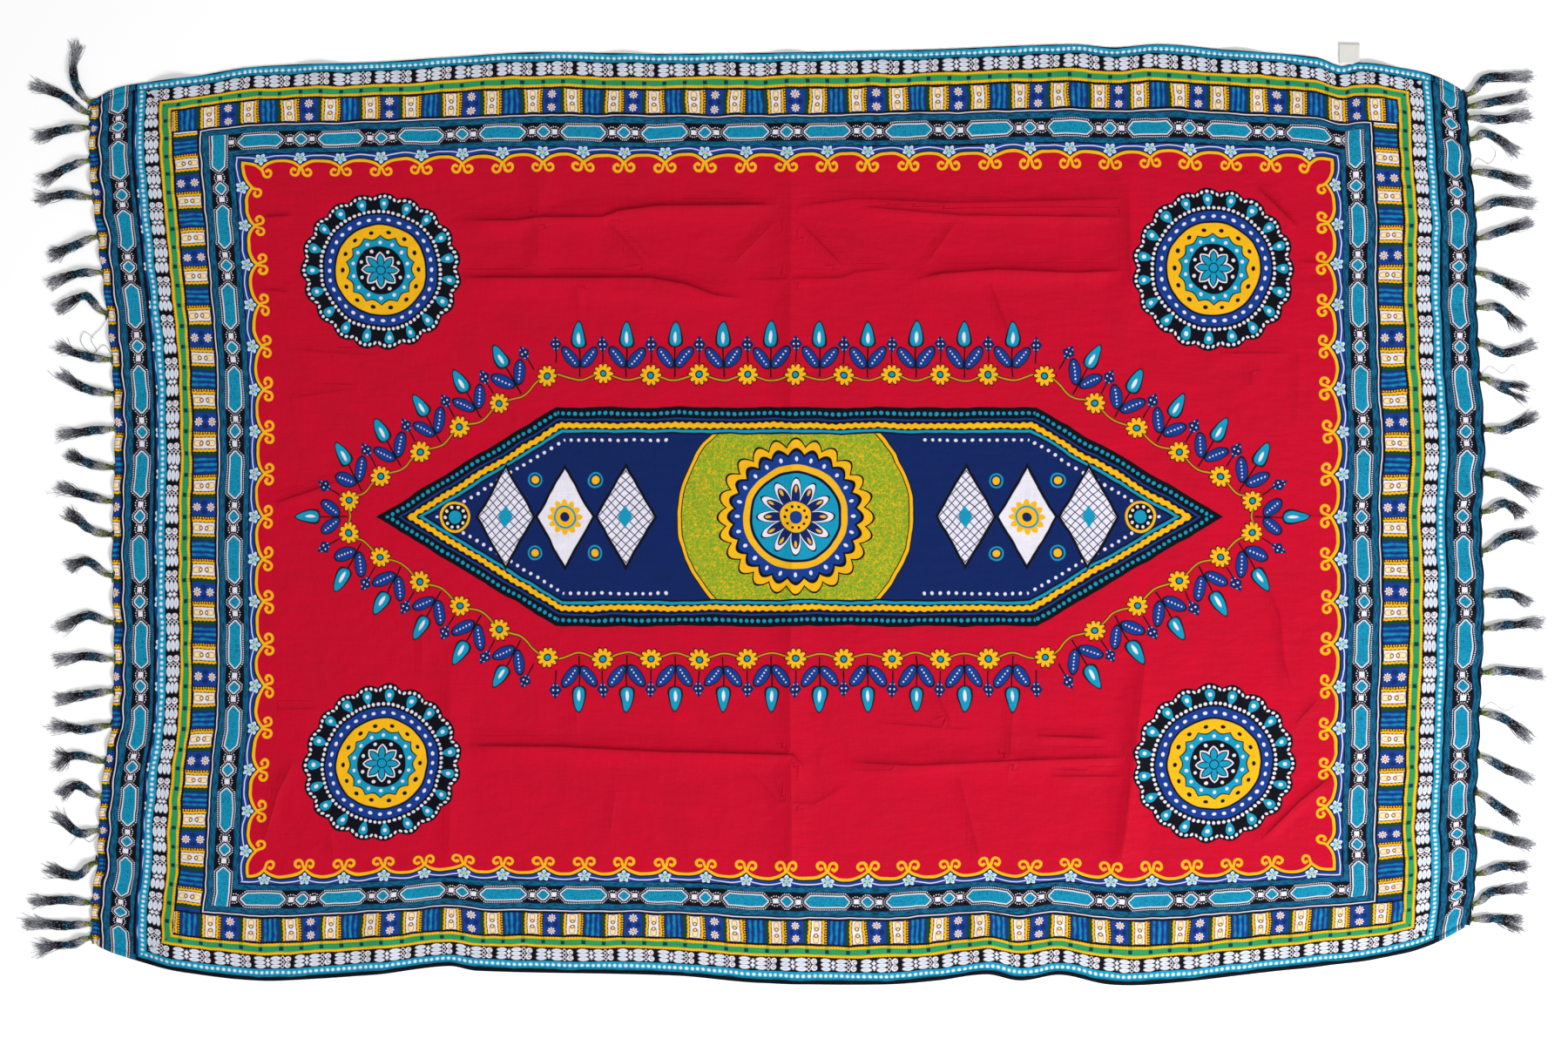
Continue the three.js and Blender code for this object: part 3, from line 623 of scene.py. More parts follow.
# %% The dyes
DYE_SHARE = 0.80  # even white cloth gives back less light than the floor


def dye(red, green, blue):
    """A colour as it is seen, from 0 to 255, turned into light for the shader."""
    parts = []
    for part in (red, green, blue):
        share = part / 255
        light = share / 12.92 if share <= 0.04045 else ((share + 0.055) / 1.055) ** 2.4
        parts.append(light * DYE_SHARE)
    return (*parts, 1.0)


RED = dye(198, 0, 40)
TURQUOISE = dye(14, 150, 188)
TEAL = dye(6, 106, 144)
DARK_TEAL = dye(6, 50, 74)
ROYAL = dye(16, 58, 140)
NAVY = dye(8, 34, 94)
NAVY_BLUE = dye(10, 48, 126)
BLACK = dye(5, 6, 18)
YELLOW = dye(246, 184, 20)
GOLD = dye(206, 142, 22)
DARK_GOLD = dye(120, 82, 16)
PALE_GOLD = dye(246, 226, 176)
GREEN = dye(44, 150, 92)
LIME = dye(128, 166, 36)
DARK_GREEN = dye(18, 66, 44)
WHITE = dye(232, 228, 240)
SKY = dye(150, 206, 228)
print("red as light:", [round(part, 3) for part in RED[:3]])

# %% [markdown]
# ## Where a point is on the print
# The border is a set of rectangular frames, one inside the other, so most of it needs only two
# numbers: how far inwards from the outermost frame a point lies, and how far along its side.
# Both are worked out once, in node groups that every printed material shares. The cloth's UV
# layer holds the cut in metres. A little noise shakes the numbers, because a screen print on
# soft cloth is never quite true.

# %% The frames of the border
FRAME_LEFT, FRAME_RIGHT = -784.0, 796.5
FRAME_FRONT, FRAME_BACK = -569.5, 573.8
PITCH = 49.0  # from one cusp of the scalloped line to the next; the other bands repeat with it
CENTRE_U, CENTRE_V = 3.3, 2.15
PITCH_V = 51.2  # the same along the ends, where the print has more room
BLOCKS_AT, CHAIN_AT, SCALLOPS_AT, FIELD_AT = 44, 77.5, 118, 156
BAND_EDGES = [0, BLOCKS_AT, CHAIN_AT, SCALLOPS_AT, FIELD_AT]
BEYOND_SHIFT = 121.5  # outside the frames, the ends repeat the bands from the blocks inwards
MIDDLE_U, MIDDLE_V = 14, 2
ROSETTE_U, ROSETTE_V, ROSETTE_REACH = 506, 300, 104
PRINT_SHAKE = 2.6
print("frames:", FRAME_RIGHT - FRAME_LEFT, "x", FRAME_BACK - FRAME_FRONT, "mm")


# %% Node group helpers
# The sockets of the groups that hold something else than a number.
KINDS = {"Print": "NodeSocketColor", "Colour": "NodeSocketColor", "Normal": "NodeSocketVector"}


def new_group(name, inputs, outputs):
    """A shader node group with these sockets, and its inputs as shades."""
    tree = bpy.data.node_groups.new(name, "ShaderNodeTree")
    for way, sockets in (("INPUT", inputs), ("OUTPUT", outputs)):
        for socket in sockets:
            kind = KINDS.get(socket, "NodeSocketFloat")
            tree.interface.new_socket(name=socket, in_out=way, socket_type=kind)
    entry = tree.nodes.new("NodeGroupInput")
    return tree, [Shade(tree, entry.outputs[socket]) for socket in inputs]


def end_group(tree, values):
    add_node(tree, "NodeGroupOutput", dict(enumerate(values)))
    return tree


def use_group(tree, group, values=()):
    """Places a group in a material and gives its outputs as shades."""
    node = add_node(tree, "ShaderNodeGroup", {}, node_tree=group)
    for socket, value in zip(node.inputs, values):
        feed(tree, socket, value)
    return [Shade(tree, socket) for socket in node.outputs]


def noise(tree, x, y, scale, detail=2.0, roughness=0.5):
    """Soft random values near a half that change over about 1 / scale mm."""
    inputs = {"Vector": paired(tree, x, y), "Scale": scale, "Detail": detail, "Roughness": roughness}
    node = add_node(tree, "ShaderNodeTexNoise", inputs, noise_dimensions="2D")
    return Shade(tree, node.outputs["Fac"])


def layer_numbers(tree, name):
    """The two numbers that a UV layer holds, in mm."""
    layer = add_node(tree, "ShaderNodeUVMap", {}, uv_map=name)
    first, second, _ = parts_of(Shade(tree, layer.outputs[0]))
    return first * IN_MM, second * IN_MM


# %% Group: place on the cut
def cut_place_group():
    tree, _ = new_group("cut place", [], ["Along cloth", "Across cloth"])
    u, v = layer_numbers(tree, "cut")
    shake_u = (noise(tree, u, v, 0.024) - 0.5) * (2 * PRINT_SHAKE)
    shake_v = (noise(tree, v, u, 0.021) - 0.5) * (2 * PRINT_SHAKE)
    return end_group(tree, [u + shake_u, v + shake_v])


CUT_PLACE = cut_place_group()


# %% Group: place on the border
def border_place_group():
    outputs = ["Inwards", "Along", "Inwards from end", "Inwards from side", "Along end", "Along side"]
    tree, (u, v) = new_group("border place", ["u", "v"], outputs)
    from_end = least(u - FRAME_LEFT, FRAME_RIGHT - u)
    from_side = least(v - FRAME_FRONT, FRAME_BACK - v)
    beyond = from_end < 0
    inwards = choose(beyond, from_end + BEYOND_SHIFT, least(from_end, from_side))
    along_end = (v - CENTRE_V) * (PITCH / PITCH_V)
    along_side = u - CENTRE_U
    along = choose(from_end < from_side, along_end, along_side)
    return end_group(tree, [inwards, along, from_end, from_side, along_end, along_side])


BORDER_PLACE = border_place_group()
print("groups:", CUT_PLACE.name, "and", BORDER_PLACE.name)

# %% [markdown]
# ## The rayon itself
# Whatever is printed on it, the cloth is one fabric: a fine plain weave with a few thicker
# threads, soft small wrinkles and a low sheen. One group turns the printed colour into the
# cloth's colour, with a dark line of painted shade along each long crease, and gives the bump, so
# that the fabric runs on without a break from one band's material to the next. On the reverse the
# dye has only soaked through, so it is paler there.

# %% Group: rayon
THREAD_PITCH = 0.75
SLUB_SCALE, SLUB_DRAWN = 0.55, 0.035  # a slub is a short thick place, drawn out along its thread
SLUB_SHADE, SLUB_HEIGHT = 0.07, 0.08
MOTTLE_SCALE, MOTTLE_SHADE = 0.02, 0.16
WRINKLE_HEIGHT = 1.0
WEAVE_HEIGHT = 0.05
ROUGH, ROUGH_SWING = 0.62, 0.2
REVERSE_DYE, REVERSE_SHARE = dye(196, 186, 190), 0.42
FACES_DOWN = -0.2  # a face whose normal points down by more than this is the reverse
# A pressed crease: width of its steep and gentle sides and its height, and the dark line of painted shade
# along it.
CREASE_STEEP, CREASE_GENTLE, CREASE_HEIGHT = 2.0, 7.0, 0.7
PAINTED_SHADE_WIDTH, PAINTED_CREASE_SHADE = 2.4, 0.11


def bump(tree, height):
    """A normal from a height in mm."""
    node = add_node(tree, "ShaderNodeBump", {"Strength": 1.0, "Distance": 1.0, "Height": height * MM})
    return Shade(tree, node.outputs["Normal"])


def rayon_group():
    inputs, outputs = ["Print", "u", "v"], ["Colour", "Roughness", "Normal"]
    tree, (print_colour, u, v) = new_group("rayon", inputs, outputs)
    slubs_along = noise(tree, u * SLUB_DRAWN, v, SLUB_SCALE, 3)
    slubs_across = noise(tree, u, v * SLUB_DRAWN, SLUB_SCALE, 3)
    mottle = noise(tree, u, v, MOTTLE_SCALE, 3) - 0.5
    apart, rise = layer_numbers(tree, "crease")
    width = choose(apart > 0, CREASE_STEEP, CREASE_GENTLE)
    fold = reckon("EXPONENT", abs(apart) / width * -1) * rise
    # painted shade: a dark line is painted into the colour along each long crease, darkest at its middle
    line = reckon("EXPONENT", abs(apart) * (-1 / PAINTED_SHADE_WIDTH)) * rise
    mottle_and_painted_shade = (slubs_along + slubs_across - 1) * SLUB_SHADE * 2 + mottle * MOTTLE_SHADE + 1
    mottle_and_painted_shade = mottle_and_painted_shade - line * PAINTED_CREASE_SHADE
    lit = add_node(tree, "ShaderNodeVectorMath", {0: print_colour, "Scale": mottle_and_painted_shade}, operation="SCALE")
    facing = add_node(tree, "ShaderNodeNewGeometry", {})
    *_, upwards = parts_of(Shade(tree, facing.outputs["True Normal"]))
    reverse = (upwards < FACES_DOWN) * REVERSE_SHARE
    colour = choose_colour(tree, reverse, Shade(tree, lit.outputs[0]), REVERSE_DYE)
    threads = wave(u, 2 * THREAD_PITCH) * wave(v, 2 * THREAD_PITCH)
    wrinkles = noise(tree, u, v, 0.028, 3, 0.55) * 0.6 + noise(tree, u * 0.4, v, 0.07, 2) * 0.4
    height = threads * WEAVE_HEIGHT + wrinkles * (2 * WRINKLE_HEIGHT) + slubs_along * SLUB_HEIGHT
    normal = bump(tree, height + fold * CREASE_HEIGHT)
    return end_group(tree, [colour, mottle * ROUGH_SWING + ROUGH, normal])


RAYON = rayon_group()


# %% Printed materials
SHEEN, SHINE = 0.02, 0.07


def new_material(name):
    material = bpy.data.materials.new(name)
    material.use_nodes = True
    return material, material.node_tree


def dress(material, looks):
    """Feeds the material's shader with these looks, by the names of its inputs."""
    shader = material.node_tree.nodes["Principled BSDF"]
    for name, value in looks.items():
        feed(material.node_tree, shader.inputs[name], value)
    return material


def printed_cloth(name, paint_on):
    """A material whose print is laid on by paint_on(tree, u, v), which gives back the paint."""
    material, tree = new_material(name)
    u, v = use_group(tree, CUT_PLACE)
    paint = paint_on(tree, u, v)
    colour, roughness, normal = use_group(tree, RAYON, [paint.colour, u, v])
    print(name, "has", len(tree.nodes), "nodes")
    return dress(material, {
        "Base Color": colour, "Roughness": roughness, "Normal": normal, "Sheen Weight": SHEEN,
        "Specular IOR Level": SHINE,
    })


# %% [markdown]
# ## The bands of the border
# From the outermost frame inwards come white dots on turquoise, rows of pebbles on black, three
# narrow lines, a row of small blocks, a chain of long beads between two ropes, and a scalloped
# line with curls and flowers. Each band has a material of its own with a short graph, because
# one graph for the whole print would be too large to draw. All of them repeat with the scallops.

# %% Dots, pebbles and lines
DOT_PITCH, DOT_RADIUS = 6.7, 1.8
PEBBLES_DEPTH = 19.3  # the middle of their ground
GROUP_PAST = 8  # the middle of a group, past each cusp
PEBBLE_ROW, BETWEEN_ROWS, ROW_STEP = 14.0, 16.7, 5.3
GREEN_DEPTH = 36.2
SQUARE_PITCH = 24.5


def beads_print(tree, u, v):
    inwards, along, *_ = use_group(tree, BORDER_PLACE, [u, v])
    paint = Paint(tree, BLACK)
    # white dots on turquoise
    paint.lay(stripe(inwards, 5.1, 5.0), TURQUOISE)
    dot = length(to_nearest(along, DOT_PITCH), inwards - 5.2) - DOT_RADIUS
    paint.lay(inside(dot - 0.5, 1.4) * 0.6, SKY)
    paint.lay(inside(dot), WHITE)
    # groups of three pebbles, two to a repeat, with small lozenges between them
    past_group = along - GROUP_PAST
    part = wrapped(past_group, PITCH)
    row = to_nearest(inwards - PEBBLE_ROW, ROW_STEP)
    between_rows = to_nearest(inwards - BETWEEN_ROWS, ROW_STEP)
    in_band = stripe(inwards, PEBBLES_DEPTH, 8.3)
    paint.lay(in_band * oval(abs(part) - 9.4, row, 6.3, 2.55), WHITE)
    paint.lay(in_band * oval(abs(part) - 9.6, row - 0.3, 2.6, 0.5), SKY)
    paint.lay(stripe(inwards, PEBBLES_DEPTH, 6.2) * lozenge(part, between_rows, 2.9, 2.9), WHITE)
    paint.lay(in_band * disc(part, row, 0.8), SKY)
    # crossed threads and a pair of snail curls
    crossing = wrapped(past_group - 18.2, PITCH)
    crossed = abs(abs(crossing) - between_rows * 0.9) - 0.55
    paint.lay(in_band * inside(crossed) * inside(abs(crossing) - 2.6), WHITE)
    snail = wrapped(past_group + PITCH / 2, PITCH)
    snail_row = abs(inwards - PEBBLES_DEPTH) - 4.0
    paint.lay(disc(snail, snail_row, 3.7), WHITE)
    paint.lay(ring(length(snail - 0.9, snail_row + 0.4), 1.8, 0.4) * inside(snail - 2.2), BLACK)
    # yellow, green and yellow lines
    beaded = wave(along, 3.4) * 0.3
    paint.lay(stripe(inwards, 30.8, 1.7 + beaded), YELLOW)
    paint.lay_nested(abs(inwards - GREEN_DEPTH), (4.3, LIME), (3.4, GREEN))
    squares = inside(to_nearest(along, SQUARE_PITCH) - 2.4)
    paint.lay(squares * stripe(inwards, GREEN_DEPTH, 2.5), DARK_TEAL)
    paint.lay(stripe(inwards, 41.6, 1.5 + beaded), choose_colour(tree, squares * 0.6, YELLOW, LIME))
    return paint


# %% Blocks
BLOCKS_DEPTH, BLOCKS_HALF = 60.6, 14.6  # the middle of the row and half its height
BLOCK_PAST = 11.5  # the middle of a repeat, past each cusp
BLOCK_SHIFT, BLOCK_HALF = 0.6, 10.6
RIDGE_PITCH = 6.4
WHITE_BLOCK_HALF = 6.0


def from_pill(x, y, half, radius):
    """Distance to a bar with round ends that runs along y."""
    return length(x, most(abs(y) - half, 0)) - radius


def blocks_print(tree, u, v):
    inwards, _, from_end, from_side, along_end, along_side = use_group(tree, BORDER_PLACE, [u, v])
    on_end = most(from_side > CHAIN_AT, from_end < 0)
    along = choose(on_end, along_end, along_side)
    depth = choose(on_end, inwards, from_side)
    part = wrapped(along - BLOCK_PAST, PITCH)
    # every second coloured block is striped and the others hold flowers
    flowered = to_nearest(along - BLOCK_PAST, 2 * PITCH) < PITCH / 2
    in_band = stripe(depth, BLOCKS_DEPTH, BLOCKS_HALF)
    block_x = part + BLOCK_SHIFT
    block = inside(abs(block_x) - BLOCK_HALF) * in_band
    ridges = cosine(block_x * (2 * math.pi / RIDGE_PITCH)) * 0.42
    patchy = (noise(tree, along, depth * 0.7, 0.16, 1) - 0.5) * 1.1
    glow = reckon("ADD", ridges + patchy - abs(block_x) * 0.03, 0.34, clamp=True)
    paint = Paint(tree, BLACK)
    paint.lay(block, choose_colour(tree, glow, NAVY_BLUE, TURQUOISE))
    flowers = Paint(tree, ROYAL)
    off_middle = abs(depth - BLOCKS_DEPTH)
    flowers.lay(oval(off_middle, abs(block_x) - 5.5, 3.6, 3.0) * 0.8, NAVY)
    flower_y = off_middle - 8.6
    out = length(block_x, flower_y)
    petals = cosine(angle(block_x, flower_y) * 8)
    flowers.lay(inside(out - petals * 0.9 - 4.4), WHITE)
    flowers.lay(ring(out, 2.6, 0.6), GOLD)
    flowers.lay(inside(out - 0.9), BLACK)
    paint.lay(flowered * block, flowers.colour)
    # a green gap on one side and a line of yellow dots on the other
    paint.lay(stripe(part, 12.1, 1.9) * in_band, DARK_GREEN)
    paint.lay(disc(part + 13.2, to_nearest(depth, 3.3), 1.0) * in_band, YELLOW)
    # yellow bars with a wavy edge
    bar = stripe(abs(part), 16.2 + wave(depth, 5.2) * 0.35, 1.35)
    paint.lay(bar * in_band, YELLOW)
    # the white block with two long gold links
    white_part = PITCH / 2 - abs(part)
    paint.lay(inside(white_part - WHITE_BLOCK_HALF) * stripe(depth, BLOCKS_DEPTH, 14), WHITE)
    link = from_pill(white_part, off_middle - 7.6, 2.6, 3.1)
    paint.lay(inside(link), PALE_GOLD)
    paint.lay(inside(abs(link) - 0.5), GOLD)
    paint.lay_nested(length(white_part, off_middle - 3.9), (2.7, DARK_GOLD), (1.4, PALE_GOLD))
    return paint


# %% Group: crackle and rope
def crackle_group():
    """Dark hairlines that wander over the turquoise beads."""
    tree, (u, v) = new_group("crackle", ["u", "v"], ["Mask"])
    first = abs(noise(tree, u, v, 0.42, 1) - 0.5)
    second = abs(noise(tree, v, u, 0.33, 1) - 0.5)
    return end_group(tree, [inside(least(first, second) - 0.022, 0.03)])


def rope_group():
    """Streaks that run along a line and wander a little, and a soft core down its middle."""
    tree, (along, aside) = new_group("rope", ["Along", "Aside"], ["Streaks", "Core"])
    swing = wave(along, 10.6) + wave(along, 23) * 0.5
    streaks = noise(tree, along * 0.14, aside + swing, 0.7, 2)
    return end_group(tree, [inside(0.52 - streaks, 0.12), inside(abs(aside) - 3.2, 1.6)])


CRACKLE = crackle_group()
ROPE = rope_group()


# %% Chain between ropes
CHAIN_DEPTH, CHAIN_HALF = 100, 11.6  # the middle of its ground and half its width
ROPE_DEPTHS = (84.8, 115.4)
BEAD_HALF, BEAD_HIGH = 29.0, 8.4
SMALL_HALF, SMALL_HIGH = 9.0, 7.2
KNOT_AT, KNOT_HALF = 35.2, 3.1
CORNER_TAKEN_TO = 112  # the chain of the ends fills the corner squares


def long_bead(x, y, half, high):
    """Distance to a bead with slanted corners, whose points are cut off."""
    slanted = abs(y) * 0.7 + (abs(x) - half) * 0.71
    return most(abs(y) - high, slanted, abs(x) - half + 1.3)


def chain_print(tree, u, v):
    inwards, along_near, from_end, _, along_end, along_side = use_group(tree, BORDER_PLACE, [u, v])
    on_end = from_end < CORNER_TAKEN_TO
    along = choose(on_end, along_end, along_side)
    # in the corner square the chain of the ends runs on to the outer rope
    depth = choose(on_end, choose(from_end < 0, inwards, from_end), inwards)
    aside = depth - CHAIN_DEPTH
    paint = Paint(tree, BLACK)
    in_band = stripe(inwards, CHAIN_DEPTH, CHAIN_HALF)
    part = to_nearest(along - PITCH, 2 * PITCH)
    bead = long_bead(part, aside, BEAD_HALF, BEAD_HIGH)
    small = long_bead(PITCH - part, aside, SMALL_HALF, SMALL_HIGH)
    nearest = least(bead, small)
    knot = most(abs(part - KNOT_AT), abs(aside)) - KNOT_HALF
    halo = length(part - KNOT_AT, aside) - 4.6
    (hairlines,) = use_group(tree, CRACKLE, [u, v])
    fill = choose_colour(tree, hairlines * 0.75, TURQUOISE, DARK_TEAL)
    # a row of fine dots runs round the beads and the knots: by length on the straight parts,
    # and by angle round the ends
    straight = abs(part) < BEAD_HALF - 5
    round_end = to_nearest(angle(abs(part) - BEAD_HALF + 5, aside), math.pi / 9) * 9.5
    round_small = to_nearest(angle(PITCH - part, aside), math.pi / 12) * 8.6
    by_bead = choose(straight, to_nearest(along, 2.15), round_end)
    dot_along = choose(nearest < bead, round_small, by_bead)
    dots = length(dot_along, nearest - 2.2) - 0.64
    halo_dots = length(to_nearest(angle(part - KNOT_AT, aside), math.pi / 7) * 6.6, halo - 1.8) - 0.7
    halo_dots = most(halo_dots, 3.4 - nearest)
    paint.lay(inside(least(dots, halo_dots), 0.5) * in_band, WHITE)
    paint.lay(inside(nearest) * in_band, WHITE)
    paint.lay(inside(nearest + 1.35) * in_band, fill)
    paint.lay(inside(knot) * in_band, WHITE)
    # the ropes on both sides, and a thin pale line outside them
    outer, inner = (inwards - rope for rope in ROPE_DEPTHS)
    off_rope = least(abs(outer), abs(inner))
    nearer = choose(inwards < CHAIN_DEPTH, outer, inner)
    streaks, core = use_group(tree, ROPE, [along_near, nearer])
    paint.lay(inside(off_rope - 3.7), choose_colour(tree, core * 0.9, NAVY, TEAL))
    paint.lay(streaks * 0.9 * inside(off_rope - 3.2), DARK_TEAL)
    paint.lay(stripe(inwards, 78.9, 0.6) * most(u < 0, from_end > 0), WHITE)
    paint.lay(inside(76.8 - inwards) * inside(inwards - 77.6), NAVY)
    return paint


# %% Scallops, curls and flowers
CREST, CUSP = 128.8, 138.5
CURL_AT, CURL_DEPTH, CURL_RADIUS = 7.4, 144.4, 4.6
CURL_HALF = 1.6
LAST_CUSP = (13 * PITCH, 8 * PITCH)  # along the sides and along the ends
FLOWER_DEPTH = 125.6


def scallops_print(tree, u, v):
    inwards, along, from_end, from_side, *_ = use_group(tree, BORDER_PLACE, [u, v])
    from_cusp = to_nearest(along, PITCH)
    arch = (PITCH / 2 - from_cusp) / (PITCH / 2)
    sag = arch ** 2.6
    line = sag * (CUSP - CREST) + CREST
    paint = Paint(tree, ROYAL)
    paint.lay(inside(inwards - 119.2), BLACK)
    # the thin white curve, the dark ground under the yellow line, and the field inside it
    white_line = arch * arch * 4.6 + 121.3
    paint.lay(inside(abs(inwards - white_line) - 0.6), WHITE)
    half = sag * 0.5 + 1.8
    past = inwards - line
    paint.lay(inside(abs(past + 0.6) - half - 1.0), BLACK)
    paint.lay(inside(-1 * past), RED)
    paint.lay(inside(abs(past) - half), YELLOW)
    # a curl on each side of the cusp, open above, with a round end
    last = choose(from_end < from_side, LAST_CUSP[1], LAST_CUSP[0])
    within = inside(abs(along) - last - 0.3)
    curl_x, curl_y = from_cusp - CURL_AT, inwards - CURL_DEPTH
    away = length(curl_x, curl_y)
    opening = inside(curl_x + 0.2) * inside(curl_y)
    curl = ring(away, CURL_RADIUS, CURL_HALF) * (1 - opening)
    curl = most(curl, disc(curl_x + 0.6, curl_y + 3.2, 1.9))
    leaving = abs(from_cusp - 0.9 - (inwards - CUSP) * 0.32)
    curl = most(curl, inside(leaving - CURL_HALF) * stripe(inwards, 141.2, 3.9))
    paint.lay(curl * within, YELLOW)
    # a five-petalled flower over each cusp
    whole = inside(abs(along) - last - 9)
    flower_x = wrapped(along, PITCH)
    flower_y = inwards - FLOWER_DEPTH
    petals = cosine(angle(flower_y, flower_x) * 5)
    out = length(flower_x, flower_y)
    paint.lay(inside(out - petals * 1.5 - 6.4) * whole, WHITE)
    paint.lay(inside(out - petals * 1.9 - 4.2) * whole, SKY)
    paint.lay(inside(abs(out - 3.4) - 1.4) * inside(petals + 0.3, 0.3) * whole, TURQUOISE)
    paint.lay(inside(out - 1.6) * whole, YELLOW)
    return paint


# %% [markdown]
# ## The rosettes
# The four wheels in the corners of the field are the same, so one material folds the cut over at
# its middle and draws one of them. Everything in it depends on the distance from the centre and
# on the angle round it: an angle folded into a number of equal parts gives drops, dots and petals.

# %% Rosette
DROPS = 19
WAVES = 14
RIM_RADIUS = 94.5
DROP_RADIUS = 84.5
# Rows of (ring radius, dots round it, share of a step that they are turned by, half along, half
# across) of white dots and dashes.
WHITE_DOTS = [
    (74.6, 76, 0, 2.0, 2.0), (64, 32, 0, 2.6, 1.9), (35.2, WAVES, 0.5, 2.1, 2.1),
    (25.4, 8, 0.5, 2.1, 2.1),
]


def round_dots(turn, away, radius, count, half_along, half_across):
    along = to_nearest(turn, 2 * math.pi / count) * radius
    return oval(along, away - radius, half_along, half_across)


def petal_shape(aside, away, tip, half):
    """A petal that leaves the centre, is widest past its middle and ends in a point."""
    share = away / tip
    width = share * (1 - share) * (share * 0.9 + 0.55) * (half * 4)
    return inside(aside - width) * inside(away - tip)


def rosette_print(tree, u, v):
    x = abs(u - MIDDLE_U) - ROSETTE_U
    y = abs(v - MIDDLE_V) - ROSETTE_V
    away = length(x, y)
    turn = angle(x, y)
    paint = Paint(tree, RED)
    lobe = abs(cosine(turn * (DROPS / 2)))
    paint.lay(inside(away - lobe * 5.4 - RIM_RADIUS), BLACK)
    paint.lay(round_dots(turn, away - lobe * 5.0 + 4, RIM_RADIUS, 5 * DROPS, 1.9, 1.9), WHITE)
    drop = to_nearest(turn, 2 * math.pi / DROPS) * DROP_RADIUS
    past = away - DROP_RADIUS
    paint.lay(oval(drop * (1 - past * 0.035), past, 5.3, 8.0), TURQUOISE)
    paint.lay(oval(drop - 0.6, past - 1, 1.7, 2.4), WHITE)
    for middle, half, colour in ((63.5, 6.8, ROYAL), (57.6, 1.0, BLACK), (47.4, 8.8, YELLOW)):
        paint.lay(ring(away, middle, half), colour)
    paint.lay(round_dots(turn, away, 48.0, WAVES, 3.0, 2.4), BLACK)
    scallop = abs(cosine(turn * (WAVES / 2))) * 4.8
    paint.lay_nested(away + scallop, (44.6, BLACK), (43.0, TURQUOISE))
    paint.lay(inside(away - 30.6), BLACK)
    for radius, count, turned, half_along, half_across in WHITE_DOTS:
        moved = turn + turned * 2 * math.pi / count
        paint.lay(round_dots(moved, away, radius, count, half_along, half_across), WHITE)
    from_petal = to_nearest(turn, 2 * math.pi / 8) * away
    paint.lay(inside(away - 14), WHITE)
    for tip, half, colour in ((24, 6.4, WHITE), (22.2, 4.7, BLACK), (20.8, 3.3, TURQUOISE)):
        paint.lay(petal_shape(from_petal, away, tip, half), colour)
    paint.lay_nested(away, (6.2, BLACK), (4.9, TURQUOISE))
    return paint


# %% [markdown]
# ## The long shape in the middle
# A long six-sided shape with pointed ends lies in the middle of the field, edged with narrow
# bands. Inside it a many-petalled sun stands between rows of lozenges, and a garland of daisies,
# leaves and buds follows it outside. All of it needs two numbers: how far a point lies outside
# the six-sided outline, and how far along it.

# %% Group: place round the long shape
SUN_PITCH = 58.1  # from one daisy of the garland to the next
FLAT_HALF = 5 * SUN_PITCH
POINT_AT = 516.0
SHAPE_HIGH = 132.0
SLANT = math.hypot(POINT_AT - FLAT_HALF, SHAPE_HIGH)
SLANT_X, SLANT_Y = (POINT_AT - FLAT_HALF) / SLANT, SHAPE_HIGH / SLANT
SLANT_END = FLAT_HALF + SLANT
TIP_RADIUS = SUN_PITCH / math.atan2(SLANT_X, SLANT_Y)


def shape_place_group():
    outputs = ["x", "y", "Outside", "Along", "Scale", "Past corner"]
    tree, (u, v) = new_group("long shape place", ["u", "v"], outputs)
    x = abs(u - MIDDLE_U)
    y = abs(v - MIDDLE_V)
    over_flat = y - SHAPE_HIGH
    over_slant = (x - POINT_AT) * SLANT_Y + y * SLANT_X
    on_flat = over_flat > over_slant
    along_slant = (x - FLAT_HALF) * SLANT_X - (y - SHAPE_HIGH) * SLANT_Y + FLAT_HALF
    # round the pointed ends the outline is a circle, and the distance along it is an angle
    beyond = along_slant > SLANT_END
    from_point = length(x - POINT_AT, y)
    turned = math.atan2(SLANT_X, SLANT_Y) - angle(x - POINT_AT, y)
    outside = choose(beyond, from_point, most(over_flat, over_slant))
    along = choose(beyond, turned * TIP_RADIUS + SLANT_END, choose(on_flat, x, along_slant))
    scale = choose(beyond, from_point / TIP_RADIUS, 1)
    past_corner = choose(on_flat, x - FLAT_HALF, (along_slant - FLAT_HALF) * -1)
    return end_group(tree, [x, y, outside, along, scale, past_corner])


SHAPE_PLACE = shape_place_group()


# %% Garland
VINE_OUT = 36
GARLAND_REACH = 112
DAISY_OUT = VINE_OUT + 3.5
BUD_OUT = 88
LOZENGE_OUT = 76
LEAF_BETWEEN, LEAF_OUT = 11.5, 60
LEAF_HALF, LEAF_LONG = 6.6, 14.0
LEAF_COS, LEAF_SIN = 0.80, 0.60  # of the angle by which a leaf leans
HALF_BEND = math.atan2(SLANT_Y, SLANT_X) / 2
BEND_X, BEND_Y = math.sin(HALF_BEND), math.cos(HALF_BEND)


